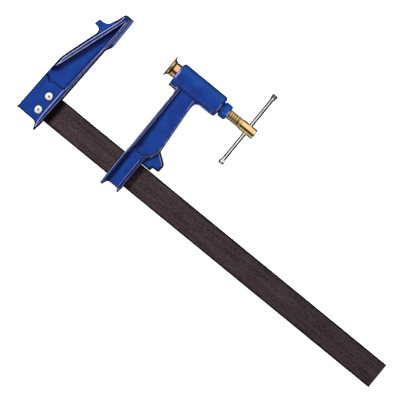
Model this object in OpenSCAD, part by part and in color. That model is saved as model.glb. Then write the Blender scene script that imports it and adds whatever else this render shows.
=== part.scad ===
// Heavy-duty screw clamp with a flat steel rail, a riveted cast jaw and a sliding cast arm.
// It lies on its side: +X runs along the rail from the fixed jaw to the free end, +Y runs from the
// rail to the spindle axis, and +Z is square to both. The origin is the middle of the fixed jaw's
// clamping face, on the spindle axis. Lengths are in millimetres.

/* [Rail] */
// Width of the flat rail
rail_w = 35; // [30:0.5:42]
// Thickness of the rail
rail_t = 8; // [6:0.5:10]
// Distance from the clamping face to the rail's free end
rail_reach = 505; // [360:5:1000]

/* [Castings] */
// Distance from the spindle axis to the rail's near edge
throat = 115.5; // [95:0.5:140]
// Depth of the casting's rims, front to back
flange_depth = 24; // [21:0.5:27]
// Thickness of the web between the rims
web_t = 10; // [7:0.5:13]
// Width of the flat land on top of a rim
rim_land = 3.2; // [2.4:0.1:4.2]
// Sideways lean of a rim's outer wall, from the mid-plane to the top
rim_draft = 2; // [1:0.1:2.6]
// Sideways lean of a rim's inner wall
rim_flare = 2.6; // [1.6:0.1:3.6]

/* [Fixed jaw] */
// Width of the head that holds the rail, from the clamping face to the outer edge
head_w = 44.0; // [40:0.2:50]
// Casting on each side of the rail inside the head
head_wall = 6; // [4.5:0.25:7]
// Casting beyond the rail's edge at the foot of the head
head_sole = 6; // [4:0.25:9]
// Outer wall that closes the rail's pocket
pocket_end = 4.5; // [3:0.25:7]
// Height of the jaw's tip above the spindle axis
jaw_top = 15; // [12:0.5:18]
// Width of the jaw at its tip
jaw_tip_w = 12.4; // [11:0.2:15]
// Depth of the clamping face below the spindle axis
face_drop = 28; // [22:0.5:34]
// Height that the clamping face stands proud of the jaw's inner edge
face_rise = 4.3; // [3:0.1:6]
// Height of the striking lug on the jaw's back, at its end
lug_h = 8; // [6:0.25:10]
// Thickness of the striking lug
lug_t = 12; // [9:0.5:15]

/* [Jaw rivets] */
// Diameter of a rivet's shank
rivet_d = 6; // [5:0.25:7.5]
// Diameter of a rivet's domed head
rivet_head_d = 9.6; // [8.5:0.2:11.5]
// Height of a rivet's domed head
rivet_head_h = 2.6; // [1.6:0.1:3.6]
// Distance between the two rivets
rivet_pitch = 20.5; // [15:0.5:23]
// Distance of the rivets behind the clamping face
rivet_back = 21.8; // [19:0.2:27]

/* [Sliding arm] */
// Gap between the clamping face and the pressure pad
opening = 68.2; // [50:0.2:300]
// Width of the sleeve round the rail
sleeve_w = 25.5; // [22:0.25:29]
// Casting on each side of the rail in the sleeve
sleeve_wall = 4; // [3:0.25:5.5]
// Casting beyond the rail's edge at the foot of the sleeve
sleeve_sole = 5.8; // [4:0.2:8]
// Clearance of the rail's slot, each side
slot_gap = 0.4; // [0.3:0.05:0.8]
// Width of the arm just below the barrel
arm_top_w = 28.2; // [26:0.2:31]
// Width of the arm at its widest, above the heel
arm_low_w = 33.9; // [32:0.2:37]
// Depth of the arm's rims where they meet the barrel, front to back
arm_top_depth = 15.4; // [13:0.2:19]
// Reach of the heel along the rail, from the arm's front edge
heel_l = 48.2; // [44:0.2:54]
// Thickness of the heel
heel_t = 16; // [13:0.5:19]

/* [Barrel] */
// Outer diameter of the barrel
barrel_d = 29.2; // [28:0.2:33]
// Length of the barrel
barrel_l = 68.2; // [66:0.2:78]
// Length of barrel that stands forward of the arm
barrel_front = 11.3; // [10:0.1:14]
// Radius on the barrel's ends
barrel_round = 2.6; // [1:0.1:3.4]
// Running clearance of shafts in their bores
run_gap = 0.06; // [0.03:0.01:0.1]

/* [Spindle nut] */
// Width across the nut's flats
nut_af = 17.6; // [16.5:0.1:20]
// Length of the hexagon
nut_l = 10.8; // [8:0.2:14]
// Diameter of the shank screwed into the barrel
nut_shank_d = 20; // [19.4:0.1:21.5]
// Length of the shank
nut_shank_l = 21; // [16:0.5:23]
// Length of the narrow neck between the barrel and the hexagon
nut_neck_l = 1.2; // [0.6:0.1:2]

/* [Plunger] */
// Diameter of the plunger
plunger_d = 18.5; // [17.5:0.1:19]
// Length of the plunger's body
plunger_l = 38; // [35:0.5:40]
// Length of plunger that shows in front of the barrel
plunger_out = 6.8; // [6.8:0.1:9]
// Diameter of the tenon that carries the pad
tenon_d = 7; // [6:0.1:8]
// Diameter of the tenon's spread head
tenon_head_d = 11; // [10.4:0.1:12]
// Diameter of the guide pin in the keyway
guide_d = 5; // [4:0.1:5.6]
// Diameter of the two pins that hold the spindle's nose
hold_pin_d = 3; // [2.4:0.1:3.4]

/* [Spindle] */
// Outer diameter of the spindle's thread
spindle_d = 13; // [12.2:0.1:14]
// Advance of the spindle in one turn
thread_pitch = 3; // [2:0.25:4]
// Length of thread that shows behind the nut
thread_out = 19.5; // [18:0.5:28]
// Diameter of the plain head
spindle_head_d = 13.6; // [12.8:0.1:15]
// Length of the plain head
spindle_head_l = 21.5; // [18:0.5:26]
// Diameter of the nose inside the plunger
nose_d = 11; // [10:0.1:11.6]

/* [Tommy bar] */
// Diameter of the tommy bar
tommy_d = 5.4; // [5:0.1:7]
// Length over its ends
tommy_l = 108; // [90:1:130]
// Diameter of its upset ends
tommy_end_d = 8; // [7.5:0.1:9.5]
// Length of an upset end
tommy_end_l = 7.4; // [5:0.2:9]

/* [Pressure pad] */
// Diameter of the pad
pad_d = 28.8; // [26:0.2:33]
// Thickness of the pad, face to back
pad_l = 4.8; // [4.4:0.1:6.5]
// Thickness of the pad's edge
pad_edge = 1.8; // [0.8:0.1:2.2]
// Diameter of the pad's back
pad_back_d = 19.8; // [19.4:0.1:22]
// Length of the thin collar that stands on the pad's back
pad_collar_l = 0.7; // [0.4:0.1:0.8]

/* [Hidden] */

$fn = 64;
arc_steps = 5;
past = 1;

// Rail and the levels that follow from it
rail_near = -throat;
rail_far = rail_near - rail_w;
rail_mid = rail_near - rail_w / 2;
rail_chamfer = 0.4;
rail_start = -head_w + pocket_end;
seat_gap = 0.1;

// Jaw levels
head_t = rail_t + 2 * head_wall;
head_foot = rail_far - head_sole;
head_step = rail_near + 4.5;
head_shoulder = rail_near + 10.3;
slant_foot = rail_near + 38.5;
tip_drop = 10.2;

// Arm stations along X, from the pad's face to the spindle's end
pad_gap = 1.2;
pad_back = opening + pad_l;
plunger_x = pad_back + pad_gap;
plunger_end = plunger_x + plunger_l;
barrel_x = plunger_x + plunger_out;
barrel_end = barrel_x + barrel_l;
arm_x = barrel_x + barrel_front;
nut_x = barrel_end + nut_neck_l;
nut_end = nut_x + nut_l;
thread_end = nut_end + thread_out;
spindle_end = thread_end + spindle_head_l;
tommy_x = (thread_end + spindle_end) / 2;

// Arm levels
sleeve_t = rail_t + 2 * sleeve_wall;
sleeve_top = rail_near + 9.5;
sleeve_foot = rail_far - sleeve_sole;
front_tip_drop = 8.5;
back_tip_drop = 4.4;
heel_bottom = rail_near + slot_gap;
heel_step = rail_near + 5.3;
heel_top = rail_near + 26.5;
guide_boss_h = 4.7;
guide_boss_t = 14;
guide_x = barrel_x + barrel_front / 2;

// Screw travel from the rest position, towards the jaw and back
advance = thread_out - 0.5;
retract = plunger_out - 0.3;

// Plunger, nose and pad details
crown_h = 0.8;
crown_r = (pow(plunger_d / 2, 2) + pow(crown_h, 2)) / (2 * crown_h);
edge_round = 0.6;
socket_l = 20;
nose_gap = 0.1;
hold_pin_x = plunger_end - 9;
groove_root_r = nose_d / 2 - hold_pin_d / 2;
hold_pin_off = groove_root_r + hold_pin_d / 2 + nose_gap;
hold_pin_l = 11;
key_depth = 2.2;
key_gap = 0.15;
tenon_recess = 0.6;
tenon_edge = 0.5;
pad_play = 0.65;
pad_collar_t = 0.6;
pad_collar_x = pad_back - 1.0;

// Unit vector along v
function unit(v) = v / norm(v);

// Arc of radius r that rounds the corner c between the legs to a and b
function corner_arc(a, c, b, r) =
    let (u = unit(a - c),
         v = unit(b - c),
         half = acos(u * v) / 2,
         centre = c + unit(u + v) * r / sin(half),
         first = c + u * r / tan(half) - centre,
         turn = (cross(u, v) < 0 ? 1 : -1) * (180 - 2 * half))
    [for (i = [0:arc_steps])
        let (t = turn * i / arc_steps)
        centre + [first.x * cos(t) - first.y * sin(t), first.x * sin(t) + first.y * cos(t)]];

// Plane point of an outline's corner, which is [x, y, radius]
function xy(corner) = [corner.x, corner.y];

// Outline from anticlockwise corners [x, y, radius]; a radius of 0 keeps the corner sharp
function rounded(corners) =
    let (n = len(corners))
    [for (i = [0:n - 1])
        let (a = xy(corners[(i + n - 1) % n]), c = corners[i], b = xy(corners[(i + 1) % n]))
        for (p = c.z > 0 ? corner_arc(a, xy(c), b, c.z) : [xy(c)]) p];

// Corners moved inwards by d, with radii that keep the rounding parallel
function inset(corners, d) =
    let (n = len(corners))
    [for (i = [0:n - 1])
        let (c = corners[i],
             e = unit(xy(c) - xy(corners[(i + n - 1) % n])),
             f = unit(xy(corners[(i + 1) % n]) - xy(c)),
             p = [-e.y, e.x],
             q = [-f.y, f.x],
             moved = xy(c) + (p + q) * d / (1 + p * q),
             radius = c.z == 0 ? 0 : max(c.z - d * sign(cross(e, f)), 0.2))
        [moved.x, moved.y, radius]];

// Points of a plane outline lifted to height z
function lifted(points, z) = [for (p = points) [p.x, p.y, z]];

// Solid through a row of rings that have equal counts of points
module loft(rings) {
    n = len(rings[0]);
    last = len(rings) - 1;
    sides = [for (i = [0:last - 1], j = [0:n - 1])
        let (a = i * n + j, b = i * n + (j + 1) % n)
        for (face = [[a, a + n, b + n], [a, b + n, b]]) face];
    start_cap = [[for (j = [0:n - 1]) j]];
    end_cap = [[for (j = [n - 1:-1:0]) last * n + j]];
    polyhedron(points = [for (ring = rings) for (p = ring) p],
               faces = concat(sides, start_cap, end_cap));
}

// Plate of thickness t, full size at the mid-plane and leaning in by draft at both faces
module drafted_plate(corners, t, draft) {
    small = rounded(inset(corners, draft));
    loft([lifted(small, -t / 2), lifted(rounded(corners), 0), lifted(small, t / 2)]);
}

// Plate of thickness t with straight walls
module plate(corners, t) {
    linear_extrude(t, center = true) polygon(rounded(corners));
}

// Six-sided section of a rim. Its outer edge stands on the silhouette at station [x, y, wide, deep],
// and the rim lies to the left of the path. wide and deep shrink it towards a tip.
function rim_section(before, station, after, land, draft, flare) =
    let (e = unit(unit(xy(station) - before) + unit(after - xy(station))),
         inward = [-e.y, e.x],
         k = station[2],
         h = station[3] * flange_depth / 2,
         section = [[0, 0], [draft, -h], [draft + land, -h], [draft + land + flare, 0],
                    [draft + land, h], [draft, h]])
    [for (s = section)
        let (p = xy(station) + inward * s.x * k)
        [p.x, p.y, s.y]];

// Rim of a casting that follows a row of stations along the silhouette
module rim(stations, land = rim_land, draft = rim_draft, flare = rim_flare) {
    n = len(stations);
    loft([for (i = [0:n - 1])
        let (c = xy(stations[i]),
             before = i > 0 ? xy(stations[i - 1]) : 2 * c - xy(stations[1]),
             after = i < n - 1 ? xy(stations[i + 1]) : 2 * c - xy(stations[n - 2]))
        rim_section(before, stations[i], after, land, draft, flare)]);
}

// Revolved solid about the X axis from [x, radius] points
module turned(profile) {
    rotate([0, 90, 0]) rotate_extrude() polygon([for (p = profile) [p.y, p.x]]);
}

// Cylinder along X between two stations
module x_bore(x0, x1, d) {
    translate([x0, 0, 0]) rotate([0, 90, 0]) cylinder(d = d, h = x1 - x0);
}

// Cylinder along Y, centred on y
module y_bore(x, y, z, d, l) {
    translate([x, y, z]) rotate([90, 0, 0]) cylinder(d = d, h = l, center = true);
}

// Holes for the two jaw rivets
module rivet_holes() {
    for (side = [-1, 1])
        translate([-rivet_back, rail_mid + side * rivet_pitch / 2, 0])
            cylinder(d = rivet_d + 2 * run_gap, h = head_t + 2 * past, center = true);
}

// Rail with broken edges at its free end
module rail() {
    c = rail_chamfer;
    color("#3e3436") difference() {
        translate([0, rail_mid, 0]) rotate([90, 0, 0]) linear_extrude(rail_w, center = true)
            polygon([[rail_start, -rail_t / 2], [rail_reach - c, -rail_t / 2],
                     [rail_reach, -rail_t / 2 + c], [rail_reach, rail_t / 2 - c],
                     [rail_reach - c, rail_t / 2], [rail_start, rail_t / 2]]);
        rivet_holes();
    }
}

// Inner rim of the jaw, from its pointed foot to the tip
module jaw_inner_rim() {
    inner_far = -face_rise - 4.3;
    rim([[inner_far - 1.4, head_foot - tip_drop, 0.25, 0.8],
         [inner_far - 1, head_foot - 3.4, 0.5, 0.95],
         [inner_far - 0.7, head_foot, 0.8, 1],
         [inner_far + 0.3, rail_far + 4, 1, 1],
         [inner_far + 1.6, rail_near, 1, 1],
         [-face_rise, -face_drop - 7.5, 1, 1],
         [-face_rise, jaw_top - 2, 1, 1]]);
}

// Slanted outer rim of the jaw, from the tip until it runs out on the head's edge
module jaw_outer_rim() {
    rim([[-jaw_tip_w - 1.6, jaw_top - 5, 1, 1],
         [-head_w * 0.677, -36, 1, 1],
         [-head_w + 2.9, slant_foot + 2.5, 1, 1],
         [-head_w + 1.8, slant_foot - 7, 0.7, 1],
         [-head_w + 1.4, slant_foot - 18, 0.15, 0.9 * web_t / flange_depth]]);
}

// Block of the head that takes the rail, stepped up from the web
module jaw_head() {
    right = -face_rise - 4.7;
    drafted_plate([[-head_w - 1.6, head_foot - 1.6, 0.4],
                   [-head_w + 1.6, head_foot, 2],
                   [right - 1, head_foot, 0],
                   [right, head_step, 0],
                   [-head_w + 12, head_step, 2.5],
                   [-head_w + 9, head_shoulder, 2.5],
                   [-head_w + 0.9, head_shoulder, 1.5]],
                  head_t, 1.3);
}

// Web between the jaw's two rims
module jaw_web() {
    plate([[-head_w + 1.1, head_step - 2, 0],
           [-face_rise - 7, head_step - 2, 0],
           [-face_rise - 4, -face_drop, 0],
           [-face_rise - 4, jaw_top - 4, 0],
           [-jaw_tip_w, jaw_top - 5, 0],
           [-head_w * 0.655, -38, 0],
           [-head_w + 3.2, slant_foot - 3, 0],
           [-head_w + 1.5, slant_foot - 16, 0]],
          web_t);
}

// Nose of the jaw: drafted on its back and top, and cut flat for the clamping face
module jaw_nose() {
    draft = 1.2;
    nose_step = 4;
    over = draft + past;
    root = -face_rise - rim_draft - 1.5;
    ramp = 7.5;
    difference() {
        drafted_plate([[root, -face_drop - ramp - 2, 0],
                       [-face_rise, -face_drop - ramp, 2],
                       [over, -face_drop + ramp * over / face_rise, 0],
                       [over, jaw_top, 0],
                       [-jaw_tip_w - 0.4, jaw_top, 4.5],
                       [-jaw_tip_w - 1.6, jaw_top - 8, 0],
                       [root - 2, jaw_top - 12, 0],
                       [root, jaw_top - 17, 0]],
                      flange_depth - nose_step, draft);
        translate([0, -face_drop - 20, -flange_depth])
            cube([over + past, face_drop + jaw_top + 40, 2 * flange_depth]);
    }
}

// Striking lug on the jaw's back, waisted towards its root
module jaw_lug() {
    lug_mid = -14.2;
    lug_end = -34.7;
    drafted_plate([[lug_end - 0.8, lug_mid - lug_h / 2, 0.8],
                   [lug_end + 7, lug_mid - lug_h / 2 - 0.3, 6],
                   [lug_end + 10, lug_mid - 12, 0],
                   [lug_end + 18, lug_mid - 8, 0],
                   [lug_end + 20, lug_mid + 14, 0],
                   [lug_end + 17, lug_mid + 14, 0],
                   [lug_end + 12, lug_mid + lug_h / 2, 10],
                   [lug_end + 0.8, lug_mid + lug_h / 2, 0.8]],
                  lug_t, 1.2);
}

module fixed_jaw() {
    pocket_l = head_w - pocket_end + past;
    color("#204498") difference() {
        union() {
            jaw_head();
            jaw_web();
            jaw_inner_rim();
            jaw_outer_rim();
            jaw_nose();
            jaw_lug();
        }
        translate([rail_start - seat_gap, rail_far - seat_gap, -rail_t / 2 - seat_gap])
            cube([pocket_l, rail_w + 2 * seat_gap, rail_t + 2 * seat_gap]);
        rivet_holes();
    }
}

// Rivet through the head and the rail, with a domed head on both faces
module jaw_rivet(side) {
    dome_r = (pow(rivet_head_d / 2, 2) + pow(rivet_head_h, 2)) / (2 * rivet_head_h);
    edge = asin(rivet_head_d / 2 / dome_r);
    dome = [for (i = [0:arc_steps])
        let (a = edge * (1 - i / arc_steps))
        [dome_r * sin(a), head_t / 2 + rivet_head_h - dome_r * (1 - cos(a))]];
    half = concat([[0, 0], [rivet_d / 2, 0], [rivet_d / 2, head_t / 2]], dome);
    color("silver") translate([-rivet_back, rail_mid + side * rivet_pitch / 2, 0]) {
        rotate_extrude() polygon(half);
        mirror([0, 0, 1]) rotate_extrude() polygon(half);
    }
}

module upper_jaw_rivet() { jaw_rivet(1); }

module lower_jaw_rivet() { jaw_rivet(-1); }

// Share of the full rim depth at level y of the arm: whole at the sleeve, least at the barrel
function arm_deep(y) =
    let (top = -barrel_d / 2 - 8, share = (y - sleeve_top) / (top - sleeve_top))
    1 - (1 - arm_top_depth / flange_depth) * min(1, max(0, share));

// Front rim of the arm, from the barrel down to its pointed foot
module arm_front_rim() {
    rim([[0, -barrel_d / 4, 1, arm_deep(0)],
         [0, -barrel_d / 2 - 8, 1, arm_deep(0)],
         [0, sleeve_top + 1, 1, 1],
         [-0.6, rail_near - 2, 1, 1],
         [-0.6, rail_far, 1, 1],
         [-0.5, sleeve_foot - 0.5, 0.9, 1],
         [-0.1, sleeve_foot - front_tip_drop, 0.42, 0.85]],
        land = 3.6, draft = 1, flare = 3.4);
}

// Back rim of the arm, which swings in over the heel to the sleeve
module arm_back_rim() {
    rim([[sleeve_w - 1, sleeve_foot - back_tip_drop, 0.3, 0.85],
         [sleeve_w - 0.2, sleeve_foot + 1.3, 0.8, 1],
         [sleeve_w, rail_far, 1, 1],
         [sleeve_w, rail_near - 2, 1, 1],
         [sleeve_w + 0.3, rail_near + 3.5, 0.95, 1],
         [(sleeve_w * 2 + arm_low_w) / 3, rail_near + 10, 0.85, 1],
         [(sleeve_w + arm_low_w * 3) / 4, rail_near + 16, 0.75, 1],
         [arm_low_w - 0.2, rail_near + 22.5, 0.65, arm_deep(rail_near + 22.5)],
         [arm_low_w, rail_near + 27.5, 0.6, arm_deep(rail_near + 27.5)],
         [(arm_low_w * 2 + arm_top_w) / 3, rail_near + 46, 0.55, arm_deep(rail_near + 46)],
         [(arm_low_w + arm_top_w * 2) / 3, rail_near + 68, 0.55, arm_deep(rail_near + 68)],
         [arm_top_w, -barrel_d / 2 - 8, 0.55, arm_deep(0)],
         [arm_top_w - 0.2, -barrel_d / 4, 0.55, arm_deep(0)]],
        land = 3.6, draft = 1.2, flare = 3);
}

// Web of the upper arm, carried into the barrel
module arm_web() {
    plate([[1.4, sleeve_top - 2, 0],
           [sleeve_w - 2, sleeve_top - 2, 0],
           [arm_low_w - 2, rail_near + 23, 0],
           [arm_low_w - 2.2, rail_near + 30, 0],
           [arm_top_w - 1, -barrel_d / 4, 0],
           [1.4, -barrel_d / 4, 0]],
          web_t);
}

// Sleeve walls beside the rail, with the foot hollowed between the two tips
module arm_sleeve() {
    plate([[0.6, sleeve_foot, 0],
           [2.8, sleeve_foot - front_tip_drop + 2, 0],
           [4.6, sleeve_foot, 4],
           [sleeve_w - 3.2, sleeve_foot, 2.5],
           [sleeve_w - 2.2, sleeve_foot - back_tip_drop + 1, 0],
           [sleeve_w - 0.8, sleeve_foot + 3, 0],
           [sleeve_w - 0.8, sleeve_top - 4, 0],
           [sleeve_w + 1.5, sleeve_top, 0],
           [6.4, sleeve_top, 4.5],
           [6.4, sleeve_top + 6, 0],
           [0.8, sleeve_top + 6, 0]],
          sleeve_t);
}

// Heel that bears on the rail's edge behind the sleeve
module arm_heel() {
    foot_l = heel_l - 9.8;
    drafted_plate([[arm_low_w - 6, heel_top - 9, 0],
                   [sleeve_w - 6, heel_bottom, 0],
                   [foot_l, heel_bottom, 1],
                   [foot_l + 0.3, heel_step, 1.2],
                   [heel_l - 0.4, heel_step, 2.5],
                   [heel_l, rail_near + 16.7, 6],
                   [arm_low_w + 0.6, heel_top, 3],
                   [arm_low_w - 4.5, heel_top, 0]],
                  heel_t, 2.4);
}

// Keel along the barrel's underside, which the arm's back edge sweeps into
module arm_keel() {
    below = -barrel_d / 2;
    keel_drop = 0.3;
    keel_end = barrel_l - barrel_front - 7;
    plate([[arm_top_w - 3, below - 13.5, 0],
           [arm_top_w + 0.3, below - 13.5, 0],
           [arm_top_w, below - keel_drop, 8],
           [keel_end, below - keel_drop, 1.5],
           [keel_end + 3, below + 5, 0],
           [1.5, below + 5, 0],
           [1.5, below - keel_drop, 0],
           [arm_top_w - 3, below - keel_drop, 0]],
          arm_top_depth - 0.5);
}

// Boss under the barrel's front end that carries the guide pin, with a shallow pocket in each face
module arm_guide_boss() {
    bottom = -barrel_d / 2 - guide_boss_h;
    pocket_d = 1.4;
    difference() {
        plate([[-barrel_front, bottom, 0.8],
               [0.2, bottom, 2.5],
               [0.2, bottom - 4, 0],
               [2.2, bottom - 4, 0],
               [2.2, -barrel_d / 3, 0],
               [-barrel_front, -barrel_d / 3, 0]],
              guide_boss_t);
        for (side = [-1, 1])
            translate([-barrel_front / 2 + 0.4, bottom + 3.9, side * guide_boss_t / 2])
                cube([barrel_front - 3.4, 3.4, 2 * pocket_d], center = true);
    }
}

// Barrel with rounded ends, about the spindle axis
module arm_barrel() {
    r = barrel_d / 2;
    q = barrel_round;
    front_round = [for (i = [0:arc_steps])
        let (a = 90 * i / arc_steps)
        [q - q * cos(a), r - q + q * sin(a)]];
    back_round = [for (i = [0:arc_steps])
        let (a = 90 * i / arc_steps)
        [barrel_l - q + q * sin(a), r - q + q * cos(a)]];
    turned(concat([[0, 0]], front_round, back_round, [[barrel_l, 0]]));
}

module sliding_arm() {
    slot_x0 = -10;
    slot_x1 = heel_l + 10;
    color("#204498") translate([arm_x, 0, 0]) difference() {
        union() {
            arm_front_rim();
            arm_back_rim();
            arm_web();
            arm_sleeve();
            arm_heel();
            arm_keel();
            arm_guide_boss();
            translate([-barrel_front, 0, 0]) arm_barrel();
        }
        translate([slot_x0, rail_far - slot_gap, -rail_t / 2 - slot_gap])
            cube([slot_x1 - slot_x0, rail_w + 2 * slot_gap, rail_t + 2 * slot_gap]);
        translate([-arm_x, 0, 0]) {
            x_bore(barrel_x - past, barrel_end, plunger_d + 2 * run_gap);
            x_bore(barrel_end - nut_shank_l, barrel_end + past, nut_shank_d + 2 * run_gap);
            y_bore(guide_x, -barrel_d / 2, 0, guide_d + 2 * run_gap, barrel_d);
        }
    }
}

// Hexagon nut screwed into the barrel's back end, with its outer corners chamfered
module spindle_nut() {
    neck_d = nut_af - 1.5;
    corner_d = nut_af / cos(30);
    chamfer = 1.2;
    color("#204498") difference() {
        union() {
            x_bore(barrel_end - nut_shank_l, barrel_end, nut_shank_d);
            x_bore(barrel_end - past, nut_x + past, neck_d);
            intersection() {
                translate([nut_x, 0, 0]) rotate([0, 90, 0]) rotate([0, 0, 90])
                    cylinder(d = corner_d, h = nut_l, $fn = 6);
                turned([[nut_x, 0], [nut_x, corner_d / 2], [nut_end - chamfer, corner_d / 2],
                        [nut_end, corner_d / 2 - 1.6 * chamfer], [nut_end, 0]]);
            }
        }
        x_bore(barrel_end - nut_shank_l - past, nut_end + past, spindle_d + 2 * run_gap);
    }
}

// Guide pin that keeps the plunger from turning
module guide_pin() {
    tip = -plunger_d / 2 + key_depth;
    foot = -barrel_d / 2 - guide_boss_h + 0.3;
    c = 0.4;
    r = guide_d / 2;
    color("dimgray") translate([guide_x, 0, 0]) rotate([-90, 0, 0]) rotate_extrude()
        polygon([[0, foot], [r - c, foot], [r, foot + c], [r, tip - c], [r - c, tip], [0, tip]]);
}

// Plunger with a crowned front, a tenon for the pad and a socket for the spindle's nose
module plunger() {
    r = plunger_d / 2;
    head_x = opening + tenon_recess;
    cone_l = (tenon_head_d - tenon_d) / 2;
    socket_r = nose_d / 2 + run_gap;
    key_w = guide_d + 2 * key_gap;
    key_front = guide_x - retract - guide_d / 2 - 0.4;
    crown = [for (i = [0:arc_steps])
        let (y = tenon_d / 2 + (r - edge_round - tenon_d / 2) * i / arc_steps)
        [plunger_x - crown_h + crown_r - sqrt(crown_r * crown_r - y * y), y]];
    color("#b9803f") difference() {
        turned(concat([[head_x, 0], [head_x, tenon_head_d / 2], [head_x + tenon_edge, tenon_head_d / 2],
                       [head_x + tenon_edge + cone_l, tenon_d / 2]],
                      crown,
                      [[plunger_x + edge_round, r], [plunger_end - edge_round, r],
                       [plunger_end, r - edge_round], [plunger_end, socket_r],
                       [plunger_end - socket_l, socket_r], [plunger_end - socket_l, 0]]));
        translate([key_front + key_w / 2, -r, 0]) {
            translate([0, -(key_w - guide_d), -key_w / 2])
                cube([plunger_end - key_front, key_depth + 2 * key_gap + key_w - guide_d, key_w]);
            rotate([90, 0, 0])
                cylinder(d = key_w, h = 2 * (key_depth + 2 * key_gap), center = true);
        }
        for (side = [-1, 1])
            y_bore(hold_pin_x, 0, side * hold_pin_off, hold_pin_d + run_gap, plunger_d);
    }
}

// Pin across the plunger that rides in the groove of the spindle's nose
module holding_pin(side) {
    color("dimgray") y_bore(hold_pin_x, 0, side * hold_pin_off, hold_pin_d, hold_pin_l);
}

module front_holding_pin() { holding_pin(1); }

module rear_holding_pin() { holding_pin(-1); }

// Spindle: grooved nose, thread drawn as its outer cylinder, and a plain head with a cross hole
module spindle() {
    r = spindle_d / 2;
    nose_r = nose_d / 2;
    head_r = spindle_head_d / 2;
    nose_x = plunger_end - socket_l + nose_gap;
    groove = hold_pin_d / 2 + nose_gap;
    thread_x = plunger_end + 1.5;
    c = 0.8;
    hole_gap = 0.2;
    color("#c2a350") difference() {
        turned([[nose_x, 0], [nose_x, nose_r - c], [nose_x + c, nose_r],
                [hold_pin_x - groove, nose_r], [hold_pin_x - groove, groove_root_r],
                [hold_pin_x + groove, groove_root_r], [hold_pin_x + groove, nose_r],
                [thread_x, nose_r], [thread_x + r - nose_r, r], [thread_end, r],
                [thread_end + c, head_r], [spindle_end - c, head_r],
                [spindle_end, head_r - c], [spindle_end, 0]]);
        y_bore(tommy_x, 0, 0, tommy_d + 2 * hole_gap, spindle_head_d + 2 * past);
    }
}

// Tommy bar with both ends upset so that it can't leave the spindle
module tommy_bar() {
    r = tommy_d / 2;
    end_r = tommy_end_d / 2;
    cone = 1.6;
    round_l = 1.2;
    half = tommy_l / 2;
    start = half - tommy_end_l;
    profile = [[0, 0], [r, 0], [r, start], [end_r, start + cone], [end_r, half - round_l],
               [end_r - 0.4 * round_l, half - 0.4 * round_l], [end_r - 1.4 * round_l, half], [0, half]];
    color("gainsboro") translate([tommy_x, 0, 0]) for (turn = [-90, 90])
        rotate([turn, 0, 0]) rotate_extrude() polygon(profile);
}

// Pressure pad: a round foot with a cone back and a collar, loose on the plunger's tenon so that it can tilt
module pressure_pad() {
    r = pad_d / 2;
    back_r = pad_back_d / 2;
    c = 0.3;
    head_x = opening + tenon_recess;
    head_r = tenon_head_d / 2;
    hole_r = tenon_d / 2 + pad_play;
    sink_r = head_r + pad_play;
    sink_x = head_x + tenon_edge + pad_play * tan(22.5);
    color("#c8ab5c")
        turned([[opening, sink_r], [opening, r - c], [opening + c, r], [opening + pad_edge, r],
                [pad_collar_x, back_r], [pad_back + pad_collar_l, back_r],
                [pad_back + pad_collar_l, back_r - pad_collar_t], [pad_back, back_r - pad_collar_t],
                [pad_back, hole_r],
                [sink_x + sink_r - hole_r, hole_r], [sink_x, sink_r]]);
}

rail();
fixed_jaw();
upper_jaw_rivet();
lower_jaw_rivet();
sliding_arm();
spindle_nut();
guide_pin();
plunger();
front_holding_pin();
rear_holding_pin();
spindle();
tommy_bar();
pressure_pad();
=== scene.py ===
"""Looks of a heavy-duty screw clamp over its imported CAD: castings, rail, screw, fasteners and studio.

Shapes are worked out in millimetres. Meshes, finishes and the stage are in metres.
"""

import math

import bpy
import numpy as np
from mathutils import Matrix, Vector


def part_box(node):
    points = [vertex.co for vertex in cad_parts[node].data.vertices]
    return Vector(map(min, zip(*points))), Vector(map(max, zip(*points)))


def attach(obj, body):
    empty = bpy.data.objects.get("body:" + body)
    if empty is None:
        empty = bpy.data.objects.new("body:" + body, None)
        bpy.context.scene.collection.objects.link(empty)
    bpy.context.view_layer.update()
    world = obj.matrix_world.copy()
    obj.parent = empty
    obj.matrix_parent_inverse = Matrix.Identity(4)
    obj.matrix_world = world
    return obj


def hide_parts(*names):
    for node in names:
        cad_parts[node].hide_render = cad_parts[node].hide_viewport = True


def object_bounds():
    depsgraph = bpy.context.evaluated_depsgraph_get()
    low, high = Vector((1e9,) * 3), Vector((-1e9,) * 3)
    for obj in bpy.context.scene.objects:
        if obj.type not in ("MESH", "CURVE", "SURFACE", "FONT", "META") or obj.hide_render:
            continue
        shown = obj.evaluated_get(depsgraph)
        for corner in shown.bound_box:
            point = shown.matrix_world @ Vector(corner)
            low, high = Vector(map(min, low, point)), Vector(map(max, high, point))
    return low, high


bl_info = {
    "name": "Screw clamp looks",
    "version": (1, 0, 0),
    "blender": (4, 5, 0),
    "location": "View3D > Sidebar > Clamp",
    "description": "Builds the castings, rail, screw and fasteners of a bar clamp over its CAD solids",
    "category": "Add Mesh",
}

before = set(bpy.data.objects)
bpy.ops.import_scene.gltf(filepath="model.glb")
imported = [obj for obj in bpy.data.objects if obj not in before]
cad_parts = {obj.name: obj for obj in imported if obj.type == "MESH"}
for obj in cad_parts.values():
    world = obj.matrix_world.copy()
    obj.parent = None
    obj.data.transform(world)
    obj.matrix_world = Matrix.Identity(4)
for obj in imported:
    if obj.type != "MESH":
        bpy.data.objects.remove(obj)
CAD_BOX = [list(corner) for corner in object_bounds()]
MM = 0.001
RIVET_NAMES = ("upper_jaw_rivet", "lower_jaw_rivet")
PIN_NAMES = ("guide_pin", "front_holding_pin", "rear_holding_pin")


def span(name):
    """Lowest and highest corner of a CAD node, in millimetres."""
    low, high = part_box(name)
    return np.array(low) / MM, np.array(high) / MM


def linear(red, green, blue):
    """Scene colour of an sRGB colour in 0 to 255: the power curve of the standard, channel by channel."""
    part = np.array([red, green, blue]) / 255
    return tuple(np.where(part <= 0.04045, part / 12.92, ((part + 0.055) / 1.055) ** 2.4))


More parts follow.
